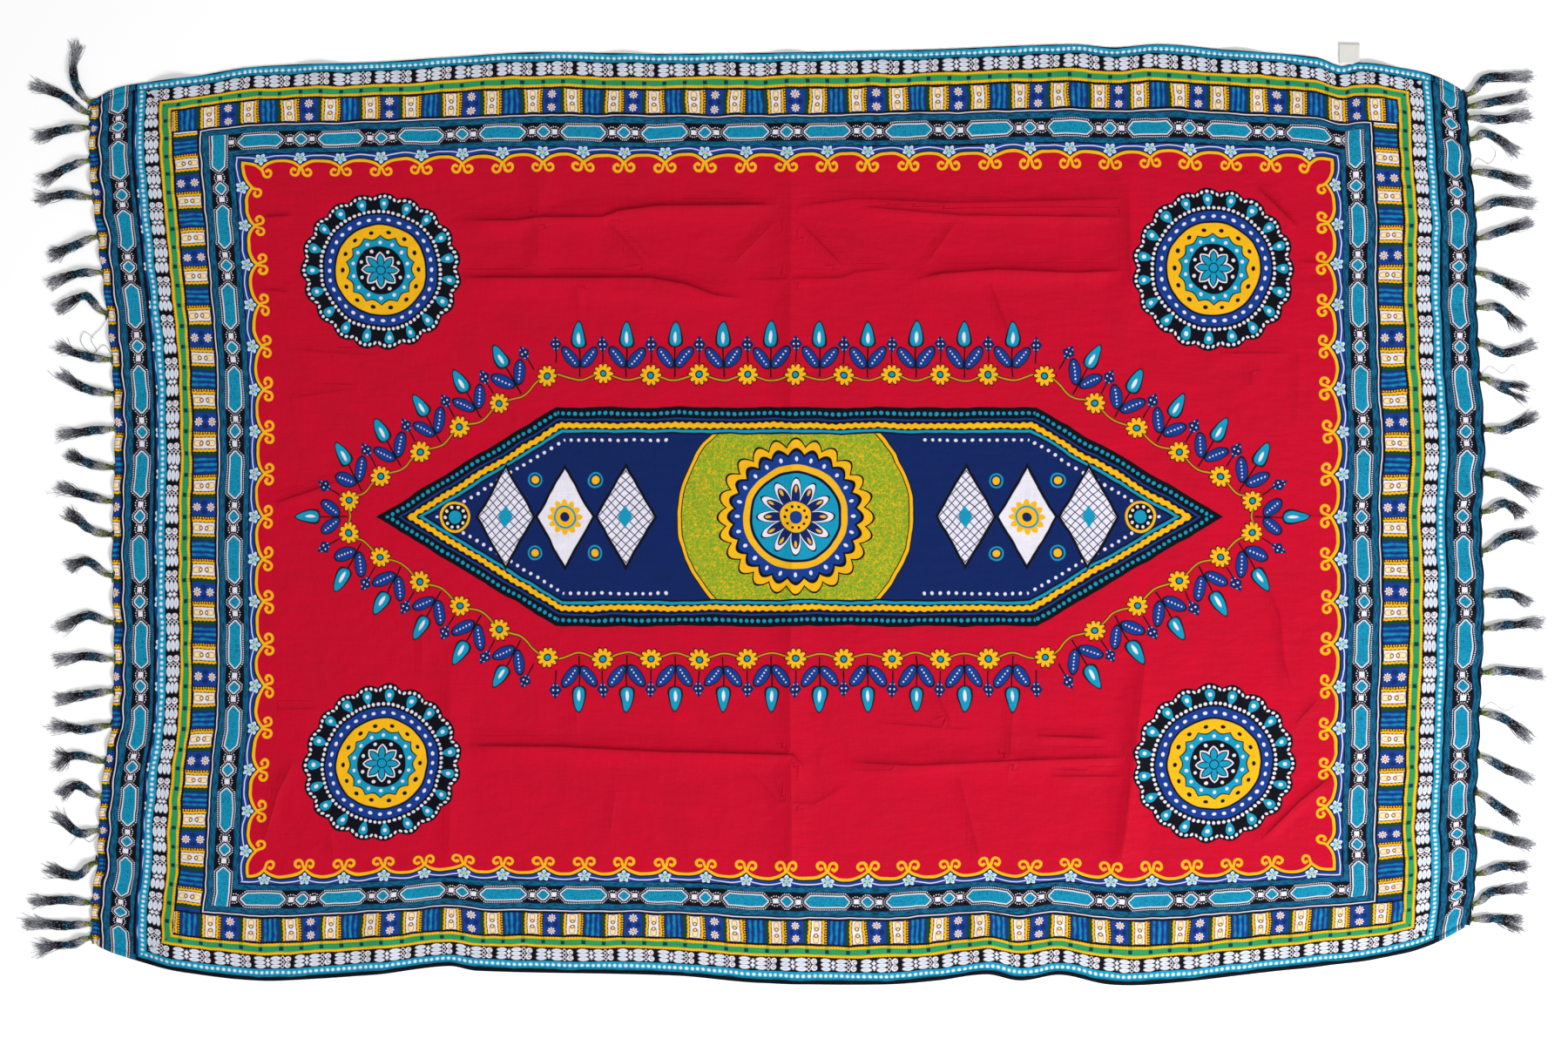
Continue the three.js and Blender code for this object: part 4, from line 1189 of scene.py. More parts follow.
def garland_print(tree, u, v):
    x, y, outside, along, scale, past_corner = use_group(tree, SHAPE_PLACE, [u, v])
    paint = Paint(tree, RED)
    whole = inside(past_corner - 4)
    swing = cosine(along * (2 * math.pi / SUN_PITCH))
    paint.lay_nested(abs(outside - swing * 3.5 - VINE_OUT), (2.0, BLACK), (1.0, GOLD))
    from_daisy = to_nearest(along, SUN_PITCH) * scale
    between = scale * (SUN_PITCH / 2) - from_daisy
    # a bud on a stalk between two daisies
    paint.lay(inside(between - 1.0) * stripe(outside, 56, 20) * whole, BLACK)
    past_bud = outside - BUD_OUT
    narrowed = between * (1 + past_bud * 0.03)
    paint.lay(oval(narrowed, past_bud, 8.2, 16.5) * whole, BLACK)
    paint.lay(oval(narrowed, past_bud, 6.4, 14.5) * whole, TURQUOISE)
    paint.lay(oval(between, past_bud + 4, 2.0, 6.5) * whole, WHITE)
    # a pair of leaves beside each stalk, with a white-dotted vein
    leaf_x, leaf_y = between - LEAF_BETWEEN, outside - LEAF_OUT
    lean_x = leaf_x * LEAF_COS - leaf_y * LEAF_SIN
    lean_y = leaf_x * LEAF_SIN + leaf_y * LEAF_COS
    leaf = length(lean_x / LEAF_HALF, lean_y / LEAF_LONG)
    rim, face, vein = (inside((leaf - share) * LEAF_HALF) * whole for share in (1.16, 1, 0.86))
    paint.lay(rim, BLACK)
    paint.lay(face, ROYAL)
    paint.lay(disc(lean_x, to_nearest(lean_y, 4.4), 0.95) * vein, WHITE)
    # a daisy on the vine, with a small lozenge above it; where the outline bends, it moves to
    # the line that halves the bend
    at_bend = abs(along - FLAT_HALF) < SUN_PITCH / 2
    daisy_x = choose(at_bend, x - FLAT_HALF - DAISY_OUT * BEND_X, from_daisy)
    daisy_y = choose(at_bend, y - SHAPE_HIGH - DAISY_OUT * BEND_Y, outside - DAISY_OUT)
    out = length(daisy_x, daisy_y)
    petals = abs(cosine(angle(daisy_x, daisy_y) * 5)) * 5
    paint.lay_nested(out - petals, (9.2, BLACK), (7.6, YELLOW))
    paint.lay_nested(out, (4.6, BLACK), (3.0, TURQUOISE))
    paint.lay(inside(from_daisy - 0.9) * stripe(outside, 62, 9), BLACK)
    past = outside - LOZENGE_OUT
    paint.lay(lozenge(from_daisy, past, 8.0, 11.0), NAVY)
    dots = disc(abs(from_daisy) - 2.6, to_nearest(past, 6.0), 1.0)
    paint.lay(dots * lozenge(from_daisy, past, 6.5, 9.5), WHITE)
    return paint


# %% The long shape
GROUND_IN = 32.5  # the ground begins this far inside the outline
GROVE_RADIUS = 140.0
SUN_REACH = 150
LOZENGE_PITCH, LOZENGES_AT = 74.0, 205
LOZENGE_HALF, LOZENGE_HIGH = 33.5, 58.0
LOZENGES_FROM, LOZENGES_TO = 168, 390
DOTS_FROM, DOTS_TO, DOTS_UP = 180, 380, 44
WHEEL_AT = 416.0


def shape_print(tree, u, v):
    x, y, outside, along, *_ = use_group(tree, SHAPE_PLACE, [u, v])
    paint = Paint(tree, RED)
    paint.lay(inside(outside), BLACK)
    paint.lay(disc(to_nearest(along, 7.4), outside + 7.5, 2.3), TURQUOISE)
    for depth, half, colour in (
        (outside + 14.8, 1.0, ROYAL),
        (outside + 22 + wave(along, 9.2) * 0.8, 3.0, YELLOW),
        (outside + 28.6, 1.6, TURQUOISE),
    ):
        paint.lay(inside(abs(depth) - half), colour)
    # the ground: green near the sun, navy beyond it
    ground = inside(outside + GROUND_IN)
    paint.lay(ground, NAVY)
    (hairlines,) = use_group(tree, CRACKLE, [u * 0.4, v * 0.4])
    grove = choose_colour(tree, hairlines * 0.8, LIME, YELLOW)
    past_grove = length(x, y) - GROVE_RADIUS
    paint.lay(inside(past_grove) * ground, grove)
    paint.lay(inside(abs(past_grove) - 3.2) * ground, BLACK)
    paint.lay(inside(abs(past_grove) - 1.9) * ground, YELLOW)
    paint.lay(disc(to_nearest(along, 9.7), outside + 39.5, 2.0) * inside(SUN_REACH - x), WHITE)
    # lozenges in a row: those with a lattice and those with a sun take turns
    part = wrapped(x - LOZENGES_AT, LOZENGE_PITCH)
    from_tile = (abs(part) / LOZENGE_HALF + y / LOZENGE_HIGH - 1) * 26
    in_row = inside(LOZENGES_FROM - x) * inside(x - LOZENGES_TO)
    tile = inside(from_tile) * in_row
    paint.lay(inside(from_tile - 3.0) * in_row, BLACK)
    paint.lay(tile, WHITE)
    latticed = tile * (to_nearest(x - LOZENGES_AT, 2 * LOZENGE_PITCH) < LOZENGE_PITCH / 2)
    lattice = most(*(inside(to_nearest(slant, 11) - 0.8) for slant in (part + y, part - y)))
    paint.lay(latticed * lattice, NAVY)
    sun = length(part, y)
    rays = abs(cosine(angle(part, y) * 6))
    sunny = tile - latticed
    paint.lay(sunny * inside(sun - rays * 6 - 16), YELLOW)
    paint.lay(sunny * ring(sun, 13, 1.2), TURQUOISE)
    paint.lay(sunny * inside(sun - 6), NAVY)
    paint.lay(latticed * lozenge(part, y, 9, 14), TURQUOISE)
    # yellow dots in the ground between the lozenges, and a small wheel past them
    between = wrapped(part - LOZENGE_PITCH / 2, LOZENGE_PITCH)
    dot = length(between, y - DOTS_UP)
    in_ground = inside(DOTS_FROM - x) * inside(x - DOTS_TO)
    paint.lay(inside(dot - 4.6) * in_ground, YELLOW)
    paint.lay(ring(dot, 8, 1.0) * in_ground, TURQUOISE)
    wheel = length(x - WHEEL_AT, y)
    paint.lay_nested(wheel, (19, YELLOW), (16, BLACK))
    paint.lay(round_dots(angle(x - WHEEL_AT, y), wheel, 12.4, 10, 1.9, 1.9), WHITE)
    paint.lay(inside(wheel - 8), TURQUOISE)
    return paint


# %% The sun in the middle
SUN_SCALE = 0.87
SUN_PETALS = 24


def sun_print(tree, u, v):
    paint = shape_print(tree, u, v)
    x, y = u - MIDDLE_U, v - MIDDLE_V
    away = length(x, y) / SUN_SCALE
    turn = angle(x, y)
    petal = abs(cosine(turn * (SUN_PETALS / 2)))
    paint.lay_nested(away - petal * 12, (98, BLACK), (95, YELLOW))
    paint.lay(inside(away - petal * 9 - 86), BLACK)
    paint.lay(inside(away - petal * 8 - 82), ROYAL)
    paint.lay(round_dots(turn, away, 80, SUN_PETALS, 2.2, 3.2), WHITE)
    paint.lay(ring(away, 68, 4.2), YELLOW)
    paint.lay(ring(away, 61.5, 1.6), BLACK)
    paint.lay(inside(away - 60), TURQUOISE)
    inner = abs(cosine(turn * 6))
    paint.lay_nested(away - inner * 26, (29, BLACK), (26.5, WHITE))
    paint.lay(inside(away - inner * 23 - 22), NAVY)
    paint.lay(round_dots(turn, away, 38, 12, 1.8, 4.6), YELLOW)
    paint.lay(inside(away - 21), YELLOW)
    paint.lay(round_dots(turn, away, 14.5, 10, 2.0, 2.0), BLACK)
    paint.lay(inside(away - 8.5), ROYAL)
    return paint


def field_print(tree, *_):
    return Paint(tree, RED)


# %% Make the printed materials
# Rows of (name of the zone, its print); the row's number is its material's on the cloth.
PRINTS = [
    ("dots and pebbles", beads_print),
    ("blocks", blocks_print),
    ("chain and ropes", chain_print),
    ("scallops", scallops_print),
    ("red field", field_print),
    ("rosette", rosette_print),
    ("garland", garland_print),
    ("long shape", shape_print),
    ("sun", sun_print),
]
cloth_materials = [printed_cloth("printed rayon, " + name, paint_on) for name, paint_on in PRINTS]
FIELD, ROSETTE, GARLAND, LONG_SHAPE, SUN = range(len(BAND_EDGES) - 1, len(PRINTS))
SHAPE_MARGIN = 8  # the long shape's material takes in this much of the field round it


def zone_of(u, v):
    """The number of the print at places of the cut."""
    from_end = np.minimum(u - FRAME_LEFT, FRAME_RIGHT - u)
    from_side = np.minimum(v - FRAME_FRONT, FRAME_BACK - v)
    inwards = np.where(from_end < 0, from_end + BEYOND_SHIFT, np.minimum(from_end, from_side))
    zone = np.searchsorted(BAND_EDGES[1:], inwards, side="right")
    x, y = np.abs(u - MIDDLE_U), np.abs(v - MIDDLE_V)
    wheel = (np.abs(x - ROSETTE_U) < ROSETTE_REACH) & (np.abs(y - ROSETTE_V) < ROSETTE_REACH)
    outside = np.maximum(y - SHAPE_HIGH, (x - POINT_AT) * SLANT_Y + y * SLANT_X)
    in_field = zone == FIELD
    zone = np.where(in_field & wheel, ROSETTE, zone)
    zone = np.where(in_field & ~wheel & (outside < GARLAND_REACH), GARLAND, zone)
    in_shape = in_field & (outside < SHAPE_MARGIN)
    return np.where(in_shape, np.where(x < SUN_REACH, SUN, LONG_SHAPE), zone)


# %% [markdown]
# ## Thread, yarn and tape
# The stitches are teal thread, with a painted highlight on the crests of its twisted strands. The
# tassels' yarns carry the print's colours one after another along their length, with a fraying
# pale end, and dark and pale patches of their own. The label is white satin tape, whose floating
# threads run along it.

# %% Stitch thread
def thread_look():
    material, tree = new_material("stitch thread")
    spot = add_node(tree, "ShaderNodeTexCoord", {})
    x, y, z = parts_of(Shade(tree, spot.outputs["Object"]))
    # the strands slant, because they are twisted round each other
    strands = wave(x * IN_MM + y * (1.4 * IN_MM) + z * (1.4 * IN_MM), 0.55)
    # painted highlight: the thread's teal is painted lighter on the crests of its twisted strands
    colour = choose_colour(tree, strands * 0.25 + 0.25, dye(12, 84, 112), dye(40, 140, 168))
    return dress(material, {
        "Base Color": colour, "Roughness": 0.7, "Normal": bump(tree, strands * 0.05),
    })


# %% Tassel yarn
# Rows of (distance along the yarn in mm, colour).
YARN_COLOURS = [
    (0, dye(12, 28, 28)), (5, dye(22, 66, 48)), (10, dye(92, 124, 46)), (14, dye(166, 164, 66)),
    (18, dye(202, 204, 208)), (24, dye(200, 204, 214)), (29, DARK_TEAL), (40, dye(10, 104, 136)),
    (45, BLACK), (55, dye(24, 26, 38)), (62, dye(112, 114, 128)), (74, dye(186, 186, 196)),
]
YARN_REACH = 90.0
YARNS_EACH = 56  # in one tassel


def yarn_look():
    material, tree = new_material("tassel yarn")
    run, which = layer_numbers(tree, "yarn")
    own = noise(tree, which * 7.3, which * 0, 1.0, 0)
    patch = noise(tree, run * 0.45, which * 5.1, 1.0, 2)
    bundle = noise(tree, reckon("FLOOR", which / YARNS_EACH) * 3.7, which * 0, 1.0, 0)
    moved = run + (own - 0.5) * 10 + (bundle - 0.5) * 20
    ramp = add_node(tree, "ShaderNodeValToRGB", {"Fac": moved / YARN_REACH})
    stops = ramp.color_ramp.elements
    while len(stops) < len(YARN_COLOURS):
        stops.new(0.5)
    for stop, (distance, colour) in zip(stops, YARN_COLOURS):
        stop.position = distance / YARN_REACH
        stop.color = colour
    paint = Paint(tree, Shade(tree, ramp.outputs["Color"]))
    paint.lay(inside(patch - 0.45, 0.05) * 0.75, BLACK)
    paint.lay(inside(0.63 - patch, 0.05) * 0.5, WHITE)
    fibres = wave(run + which * 0.7, 1.3)
    return dress(material, {
        "Base Color": paint.colour, "Normal": bump(tree, fibres * 0.06), "Roughness": 0.8,
        "Specular IOR Level": 0.15,
    })


# %% Label tape
SELVEDGE_FROM = 10.9  # from the middle of the tape
FOLD_SHADE_AT = 24.5  # the fold lies in its own shade


def tape_look():
    material, tree = new_material("satin tape")
    across, run = layer_numbers(tree, "tape")
    floats = noise(tree, across * 3.0, run * 0.35, 1.0, 2)
    paint = Paint(tree, dye(222, 220, 214)).lay(floats * 0.5, dye(244, 243, 240))
    selvedge = inside(SELVEDGE_FROM - abs(across), 0.3)
    paint.lay(selvedge * 0.7, dye(250, 250, 248))
    paint.lay(inside(abs(run - FOLD_SHADE_AT) - 1.5, 2) * 0.25, dye(176, 174, 172))
    ribs = wave(run, 0.9) * 0.03 + wave(across, 0.5) * 0.02 + selvedge * 0.08
    return dress(material, {
        "Base Color": paint.colour, "Roughness": floats * 0.25 + 0.3, "Normal": bump(tree, ribs),
        "Sheen Weight": 0.2,
    })


thread_material = thread_look()
yarn_material = yarn_look()
tape_material = tape_look()
print("materials:", len(bpy.data.materials))

# %% [markdown]
# ## The cloth
# A sheet of rayon is a fraction of a millimetre thick, so the piece is a closed shell: a grid of
# points for the face, the same grid a little lower for the reverse, and a rim that joins them.
# The grid lines run straight in the cut. Some of them lie exactly on the edges of the printed
# bands, so that each band can have a material of its own, and they lie closer together where a
# long crease runs, because a crease needs a few lines to bend on.

# %% Grid lines
CLOTH_THICKNESS = 0.7
UNDERSIDE = 0.05
COLUMN_COUNT = 268
ROW_COUNT = 176
CLOSE_STEP = 2.6
CLOSE_COLUMNS = [(1, 15), (402, 424), (590, 616)]
CLOSE_ROWS = [(-302, -262), (260, 304), (356, 392)]


def filled_to(count, places):
    """Splits the widest space again and again until there are enough places."""
    places = sorted(set(places))
    while len(places) < count:
        gaps = np.diff(places)
        widest = int(np.argmax(gaps))
        places.insert(widest + 1, (places[widest] + places[widest + 1]) / 2)
    return np.array(places)


def close_lines(stretches):
    return [float(place) for low, high in stretches for place in np.arange(low, high, CLOSE_STEP)]


band_columns = [FRAME_LEFT + depth for depth in BAND_EDGES] + [FRAME_RIGHT - depth for depth in BAND_EDGES]
band_columns.append(FRAME_LEFT - (BEYOND_SHIFT - CHAIN_AT))
band_rows = [FRAME_FRONT + depth for depth in BAND_EDGES] + [FRAME_BACK - depth for depth in BAND_EDGES]
band_rows = [row for row in band_rows if abs(row) < CLOTH_V]
for side in (-1, 1):
    for edge in (-ROSETTE_REACH, ROSETTE_REACH):
        band_columns.append(MIDDLE_U + side * ROSETTE_U + edge)
        band_rows.append(MIDDLE_V + side * ROSETTE_V + edge)
columns = filled_to(COLUMN_COUNT, [-CLOTH_U, CLOTH_U, *band_columns, *close_lines(CLOSE_COLUMNS)])
rows = filled_to(ROW_COUNT, [-CLOTH_V, CLOTH_V, *band_rows, *close_lines(CLOSE_ROWS)])
print("grid:", len(columns), "columns and", len(rows), "rows")

# %% Where the cloth lies
grid_u, grid_v = np.meshgrid(columns, rows, indexing="ij")
own_x, own_y = laid(grid_u, grid_v)
cloth_low, cloth_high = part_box("cloth")
SHIFT_X = (cloth_low.x + cloth_high.x) / 2 / MM - (own_x.min() + own_x.max()) / 2
SHIFT_Y = (cloth_low.y + cloth_high.y) / 2 / MM - (own_y.min() + own_y.max()) / 2


def place(u, v, up=0.0):
    """Frame coordinates in mm of points of the cut, up mm over the cloth's underside."""
    u, v = np.broadcast_arrays(np.asarray(u, float), np.asarray(v, float))
    x, y = laid(u, v)
    height = UNDERSIDE + lift(u, v) + crease_lift(x, y) + up
    return np.stack([x + SHIFT_X, y + SHIFT_Y, height], axis=-1)


print("shift into the frame, in mm:", round(SHIFT_X, 2), round(SHIFT_Y, 2))


# %% Shared mesh making
def add_object(name, data):
    thing = bpy.data.objects.new(name, data)
    bpy.context.scene.collection.objects.link(thing)
    return thing


def new_piece(name, points, faces, node, materials):
    """A piece from points in mm. It rides on the one body and stands for its CAD node."""
    mesh = bpy.data.meshes.new(name)
    mesh.from_pydata(np.asarray(points).reshape(-1, 3) * MM, [], faces)
    mesh.polygons.foreach_set("use_smooth", [True] * len(mesh.polygons))
    for material in materials:
        mesh.materials.append(material)
    piece = add_object(name, mesh)
    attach(piece, "root")
    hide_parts(node)
    return piece


def write_layer(piece, name, values):
    """Writes one pair of numbers for each point, in metres, as a UV layer."""
    layer = piece.data.uv_layers.new(name=name)
    corner_points = np.empty(len(piece.data.loops), int)
    piece.data.loops.foreach_get("vertex_index", corner_points)
    layer.data.foreach_set("uv", (np.asarray(values).reshape(-1, 2)[corner_points] * MM).ravel())


def grid_faces(wide, deep, first=0, flipped=False):
    """Quads of a grid whose points are stored column after column."""
    corner = first + (np.arange(wide - 1)[:, None] * deep + np.arange(deep - 1)).ravel()
    quads = np.stack([corner, corner + deep, corner + deep + 1, corner + 1], axis=-1)
    return (quads[:, ::-1] if flipped else quads).tolist()


def tube_faces(rings, around, first=0):
    """Quads round a row of rings, with a face on each end."""
    faces = []
    for start in range(first, first + (rings - 1) * around, around):
        for k in range(around):
            a, b = start + k, start + (k + 1) % around
            faces.append((a, b, b + around, a + around))
    faces.append(tuple(first + k for k in reversed(range(around))))
    faces.append(tuple(first + (rings - 1) * around + k for k in range(around)))
    return faces


def many_tubes(count, rings, around):
    """The faces of a row of tubes whose points follow one another."""
    firsts = range(0, count * rings * around, rings * around)
    return [face for first in firsts for face in tube_faces(rings, around, first)]


def print_by_zone(piece):
    """Gives each face the print of the zone that its middle lies in."""
    corners = np.empty(len(piece.data.loops) * 2)
    piece.data.uv_layers["cut"].data.foreach_get("uv", corners)
    starts = np.empty(len(piece.data.polygons), int)
    piece.data.polygons.foreach_get("loop_start", starts)
    sums = np.add.reduceat(corners.reshape(-1, 2), starts, axis=0)
    counts = np.diff(np.append(starts, len(piece.data.loops)))
    middle = sums / counts[:, None] / MM
    zones = zone_of(middle[:, 0], middle[:, 1]).astype(np.int32)
    piece.data.polygons.foreach_set("material_index", zones)
    piece.data.update()


def printed_roll(name, node, rings, cuts, flipped):
    """A closed section carried along an edge, from its lines of points and their cut places."""
    if flipped:
        rings, cuts = rings[::-1], cuts[::-1]
    faces = tube_faces(len(rings[0]), len(rings))
    piece = new_piece(name, np.stack(rings, axis=1), faces, node, cloth_materials)
    write_layer(piece, "cut", np.stack(cuts, axis=1))
    print_by_zone(piece)
    return piece


# %% The cloth's shell
def cloth_shell():
    wide, deep = grid_u.shape
    under = place(grid_u, grid_v)
    over = under + [0, 0, CLOTH_THICKNESS]
    layer = wide * deep
    faces = grid_faces(wide, deep, 0, flipped=True) + grid_faces(wide, deep, layer)
    index = np.arange(layer).reshape(wide, deep)
    rim = [*index[:, 0], *index[-1, 1:], *index[-2::-1, -1], *index[0, -2:0:-1]]
    for a, b in zip(rim, rim[1:] + rim[:1]):
        faces.append((int(a), int(b), int(b) + layer, int(a) + layer))
    cloth = new_piece("sarong_cloth", [under, over], faces, "cloth", cloth_materials)
    cut = np.stack([grid_u, grid_v], axis=-1)
    write_layer(cloth, "cut", [cut, cut])
    # the crease layer drives the creases' bump and a line of painted shade along each long crease
    marks = crease_bump_and_shade(own_x, own_y)
    write_layer(cloth, "crease", [marks, marks])
    print_by_zone(cloth)
    return cloth


cloth = cloth_shell()
print("cloth:", 2 * len(cloth.data.polygons), "triangles")

# %% [markdown]
# ## The rolled hems
# Each long edge is turned over twice into a narrow roll and stitched down. A roll is a closed
# section carried along the edge, so the print runs on over it, and the edge's own waves carry it.
# The section's first points meet the cloth's face and its last ones meet the reverse, so that no
# gap shows between them. The stitches are small raised loops of thread, one after another.

# %% Hems
# Rows of (out from the cloth's edge, height over the underside).
HEM_SECTION = [
    (-1.2, 0.72), (0.2, 1.15), (1.4, 1.75), (3.0, 2.05), (4.6, 1.85), (5.8, 1.2), (6.0, 0.6),
    (5.4, 0.12), (3.0, 0.0), (0.0, 0.0), (-1.2, 0.1),
]
HEM_STEPS = 420
STITCH_PITCH = 3.1
PUCKER_DEPTH = 0.16  # the thread draws the roll in a little at each stitch


def edge_frame(u, v, outwards):
    """Points on an edge, and the floor steps that leave it by 1 mm square to its run."""
    points = place(u, v)
    along = np.gradient(points[:, :2], axis=0)
    along /= np.linalg.norm(along, axis=1, keepdims=True)
    square = np.abs(outwards[0] * along[:, 1] - outwards[1] * along[:, 0])
    steps = np.zeros_like(points)
    steps[:, :2] = np.array(outwards) / square[:, None]
    return points, steps


def hem(side, name, node):
    u = np.linspace(-CLOTH_U, CLOTH_U, HEM_STEPS)
    points, steps = edge_frame(u, np.full_like(u, side * CLOTH_V), (0, side))
    puckers = PUCKER_DEPTH * np.cos(2 * np.pi * u / STITCH_PITCH)
    rings, cuts = [], []
    for out, up in HEM_SECTION:
        line = points + steps * out
        line[:, 2] += up + (puckers if up > 1 else 0)
        rings.append(line)
        cuts.append(np.stack([u, np.full_like(u, side * (CLOTH_V + min(out, HEM_WIDTH)))], axis=-1))
    return printed_roll(name, node, rings, cuts, flipped=side < 0)


hem_back = hem(1, "hem_back_roll", "hem_back")
hem_front = hem(-1, "hem_front_roll", "hem_front")
print("hems:", len(hem_back.data.polygons), "faces each")

# %% Hem stitches
STITCH_LENGTH = 2.4
STITCH_OUT = 0.75
STITCH_HEIGHT = 1.5
# Rows of (share of the stitch's length, share of its thickness, rise).
STITCH_RINGS = [(-0.5, 0.45, -0.25), (-0.3, 1, 0), (0.3, 1, 0), (0.5, 0.45, -0.25)]
THREAD_RADIUS = 0.26
THREAD_SIDES = 5


def stitches(side, name, node):
    u = np.arange(-CLOTH_U + STITCH_PITCH, CLOTH_U - STITCH_PITCH, STITCH_PITCH)
    points, steps = edge_frame(u, np.full_like(u, side * CLOTH_V), (0, side))
    run = np.gradient(points, axis=0)
    run /= np.linalg.norm(run, axis=1, keepdims=True)
    middle = points + steps * STITCH_OUT + [0, 0, STITCH_HEIGHT]
    turn = 2 * np.pi * np.arange(THREAD_SIDES) / THREAD_SIDES
    around = np.stack([np.zeros(THREAD_SIDES), np.cos(turn), np.sin(turn)], axis=-1)
    rings = []
    for share, thick, rise in STITCH_RINGS:
        centre = middle + run * share * STITCH_LENGTH + [0, 0, rise]
        rings.append(centre[:, None, :] + around[None] * THREAD_RADIUS * thick)
    faces = many_tubes(len(u), len(STITCH_RINGS), THREAD_SIDES)
    print(name, "has", len(u), "stitches")
    return new_piece(name, np.stack(rings, axis=1), faces, node, [thread_material])


stitches_back = stitches(1, "hem_back_stitches", "hem_back")
stitches_front = stitches(-1, "hem_front_stitches", "hem_front")

# %% [markdown]
# ## The ends and their tassels
# Past the last weft thread only the warp is left. Its threads still carry the print's colours,
# which is why a tassel changes colour along its length. Each tassel here is some fifty thin
# three-sided yarns that leave a short stretch of the end, gather in a narrow neck, wind once or
# twice round each other and loosen into a frayed brush. A hair system would not be exported, so
# the yarns are real tubes, joined into one mesh at each end.

# %% The end strips
END_LINES = 300
# Rows of (out from the cloth's edge, height over the underside).
END_SECTION = [
    (-1.0, 0.72), (1.0, 0.95), (3.4, 1.05), (5.2, 0.9), (6.0, 0.5), (5.2, 0.05), (2.0, 0.0), (-1.0, 0.1),
]
GATHER = 1.1  # how far the strip reaches less between two tassels


def end_line(side, places):
    """Points and steps along one end at these places v."""
    return edge_frame(np.full_like(places, side * CLOTH_U), places, (side, 0))


def end_spot(side, v):
    """One point of an end, and the step that leaves the cloth there."""
    points, steps = end_line(side, np.array([v - 0.5, v, v + 0.5]))
    return points[1], steps[1]


def end_strip(side, name, node):
    # The strip runs past the cloth's grid, behind the ends of the hems, and closes the corners.
    v = np.linspace(-HALF_WIDTH, HALF_WIDTH, END_LINES)
    points, steps = end_line(side, v)
    shorter = GATHER * np.minimum(pucker(side, v), 1)
    rings, cuts = [], []
    for out, up in END_SECTION:
        reach = out - shorter * max(out, 0) / HEADER_WIDTH
        line = points + steps * reach[:, None]
        line[:, 2] += up
        rings.append(line)
        cuts.append(np.stack([side * (CLOTH_U + np.minimum(reach, HEADER_WIDTH)), v], axis=-1))
    return printed_roll(name, node, rings, cuts, flipped=side > 0)


end_left = end_strip(-1, "end_left_strip", "fringe_left")
end_right = end_strip(1, "end_right_strip", "fringe_right")
print("end strips:", len(end_left.data.polygons), "faces each")

# %% Routes through a tassel
NECK_RUN = 13
NECK_SUNK = 3
STRAND_FLOOR = 0.4


def route_curve(spots):
    """A centripetal Catmull-Rom line through the spots, as a function of t from 0 to 1."""
    spots = np.array(spots, float)
    first = 2 * spots[0] - spots[1]
    last = 2 * spots[-1] - spots[-2]
    padded = np.vstack([first, spots, last])

    def curve(t):
        place_on = np.clip(t, 0, 1) * (len(spots) - 1)
        leg = np.minimum(place_on.astype(int), len(spots) - 2)
        share = place_on - leg
        p0, p1, p2, p3 = (padded[leg + k] for k in range(4))
        d0, d1, d2 = (np.maximum(np.linalg.norm(b - a, axis=-1), 1e-4) ** 0.5
                      for a, b in ((p0, p1), (p1, p2), (p2, p3)))
        d0, d1, d2 = d0[:, None], d1[:, None], d2[:, None]
        m1 = ((p1 - p0) / d0 - (p2 - p0) / (d0 + d1) + (p2 - p1) / d1) * d1
        m2 = ((p2 - p1) / d1 - (p3 - p1) / (d1 + d2) + (p3 - p2) / d2) * d1
        s = share[:, None]
        return ((2 * s**3 - 3 * s**2 + 1) * p1 + (s**3 - 2 * s**2 + s) * m1
                + (3 * s**2 - 2 * s**3) * p2 + (s**3 - s**2) * m2)

    return curve


# %% Yarns of a tassel
YARN_RINGS = 19
YARN_SIDES = 3
YARN_RADIUS = 0.45
ROOT_SPREAD = 8.5  # half the stretch of the end that one tassel gathers
ROOT_HEIGHT = 0.6
# Rows of (share of the tassel's length, half width, half height of the bunch).
BUNCH = [
    (0.0, 8.0, 0.5), (0.07, 3.6, 1.8), (0.13, 2.4, 2.2), (0.3, 3.5, 2.8), (0.45, 4.9, 2.9),
    (0.62, 5.0, 2.6), (0.8, 4.4, 2.1), (1.0, 6.2, 1.3),
]
bunch_at, bunch_wide, bunch_high = np.array(BUNCH, float).T
TURNS = 1.15
GOLDEN_SHARE = 0.618034  # of a turn from one yarn to the next, so that they fill the bunch evenly
REACH_SWING = 0.055
LONG_YARN_EACH, LONG_YARN_MORE = 9, 0.09
# Shares of a yarn's length: it lies in its row at the root up to the first, has come down to the
# floor at the second, hangs loose from the third and frays from the fourth.
ROOTED_TO, DOWN_AT, LOOSE_FROM, FRAYED_FROM = 0.11, 0.3, 0.35, 0.72
LOOSE_POWER, LOOSE_SINK = 1.6, 0.35
WAVER, SWAY, SLIP, FRAY = 1.6, 2.0, 1.4, 2.6
RHYTHM = (1.5, 3.2)  # waves in a yarn's length


def yarn_spots(row, reach, parted):
    """Four spots (out, along) that a yarn of a tassel passes."""
    _, middle_out, middle_along, tip_out, tip_along, split = row
    along_tip = tip_along + (split if parted else 0)
    return [
        (0, 0),
        (NECK_RUN - NECK_SUNK, 0.5 * middle_along * NECK_RUN / middle_out),
        (middle_out - NECK_SUNK, middle_along),
        (reach * (tip_out - NECK_SUNK), reach * along_tip),
    ]


def share_from(t, start):
    """How far t has come from the start to the end at 1."""
    return np.clip((t - start) / (1 - start), 0, 1)


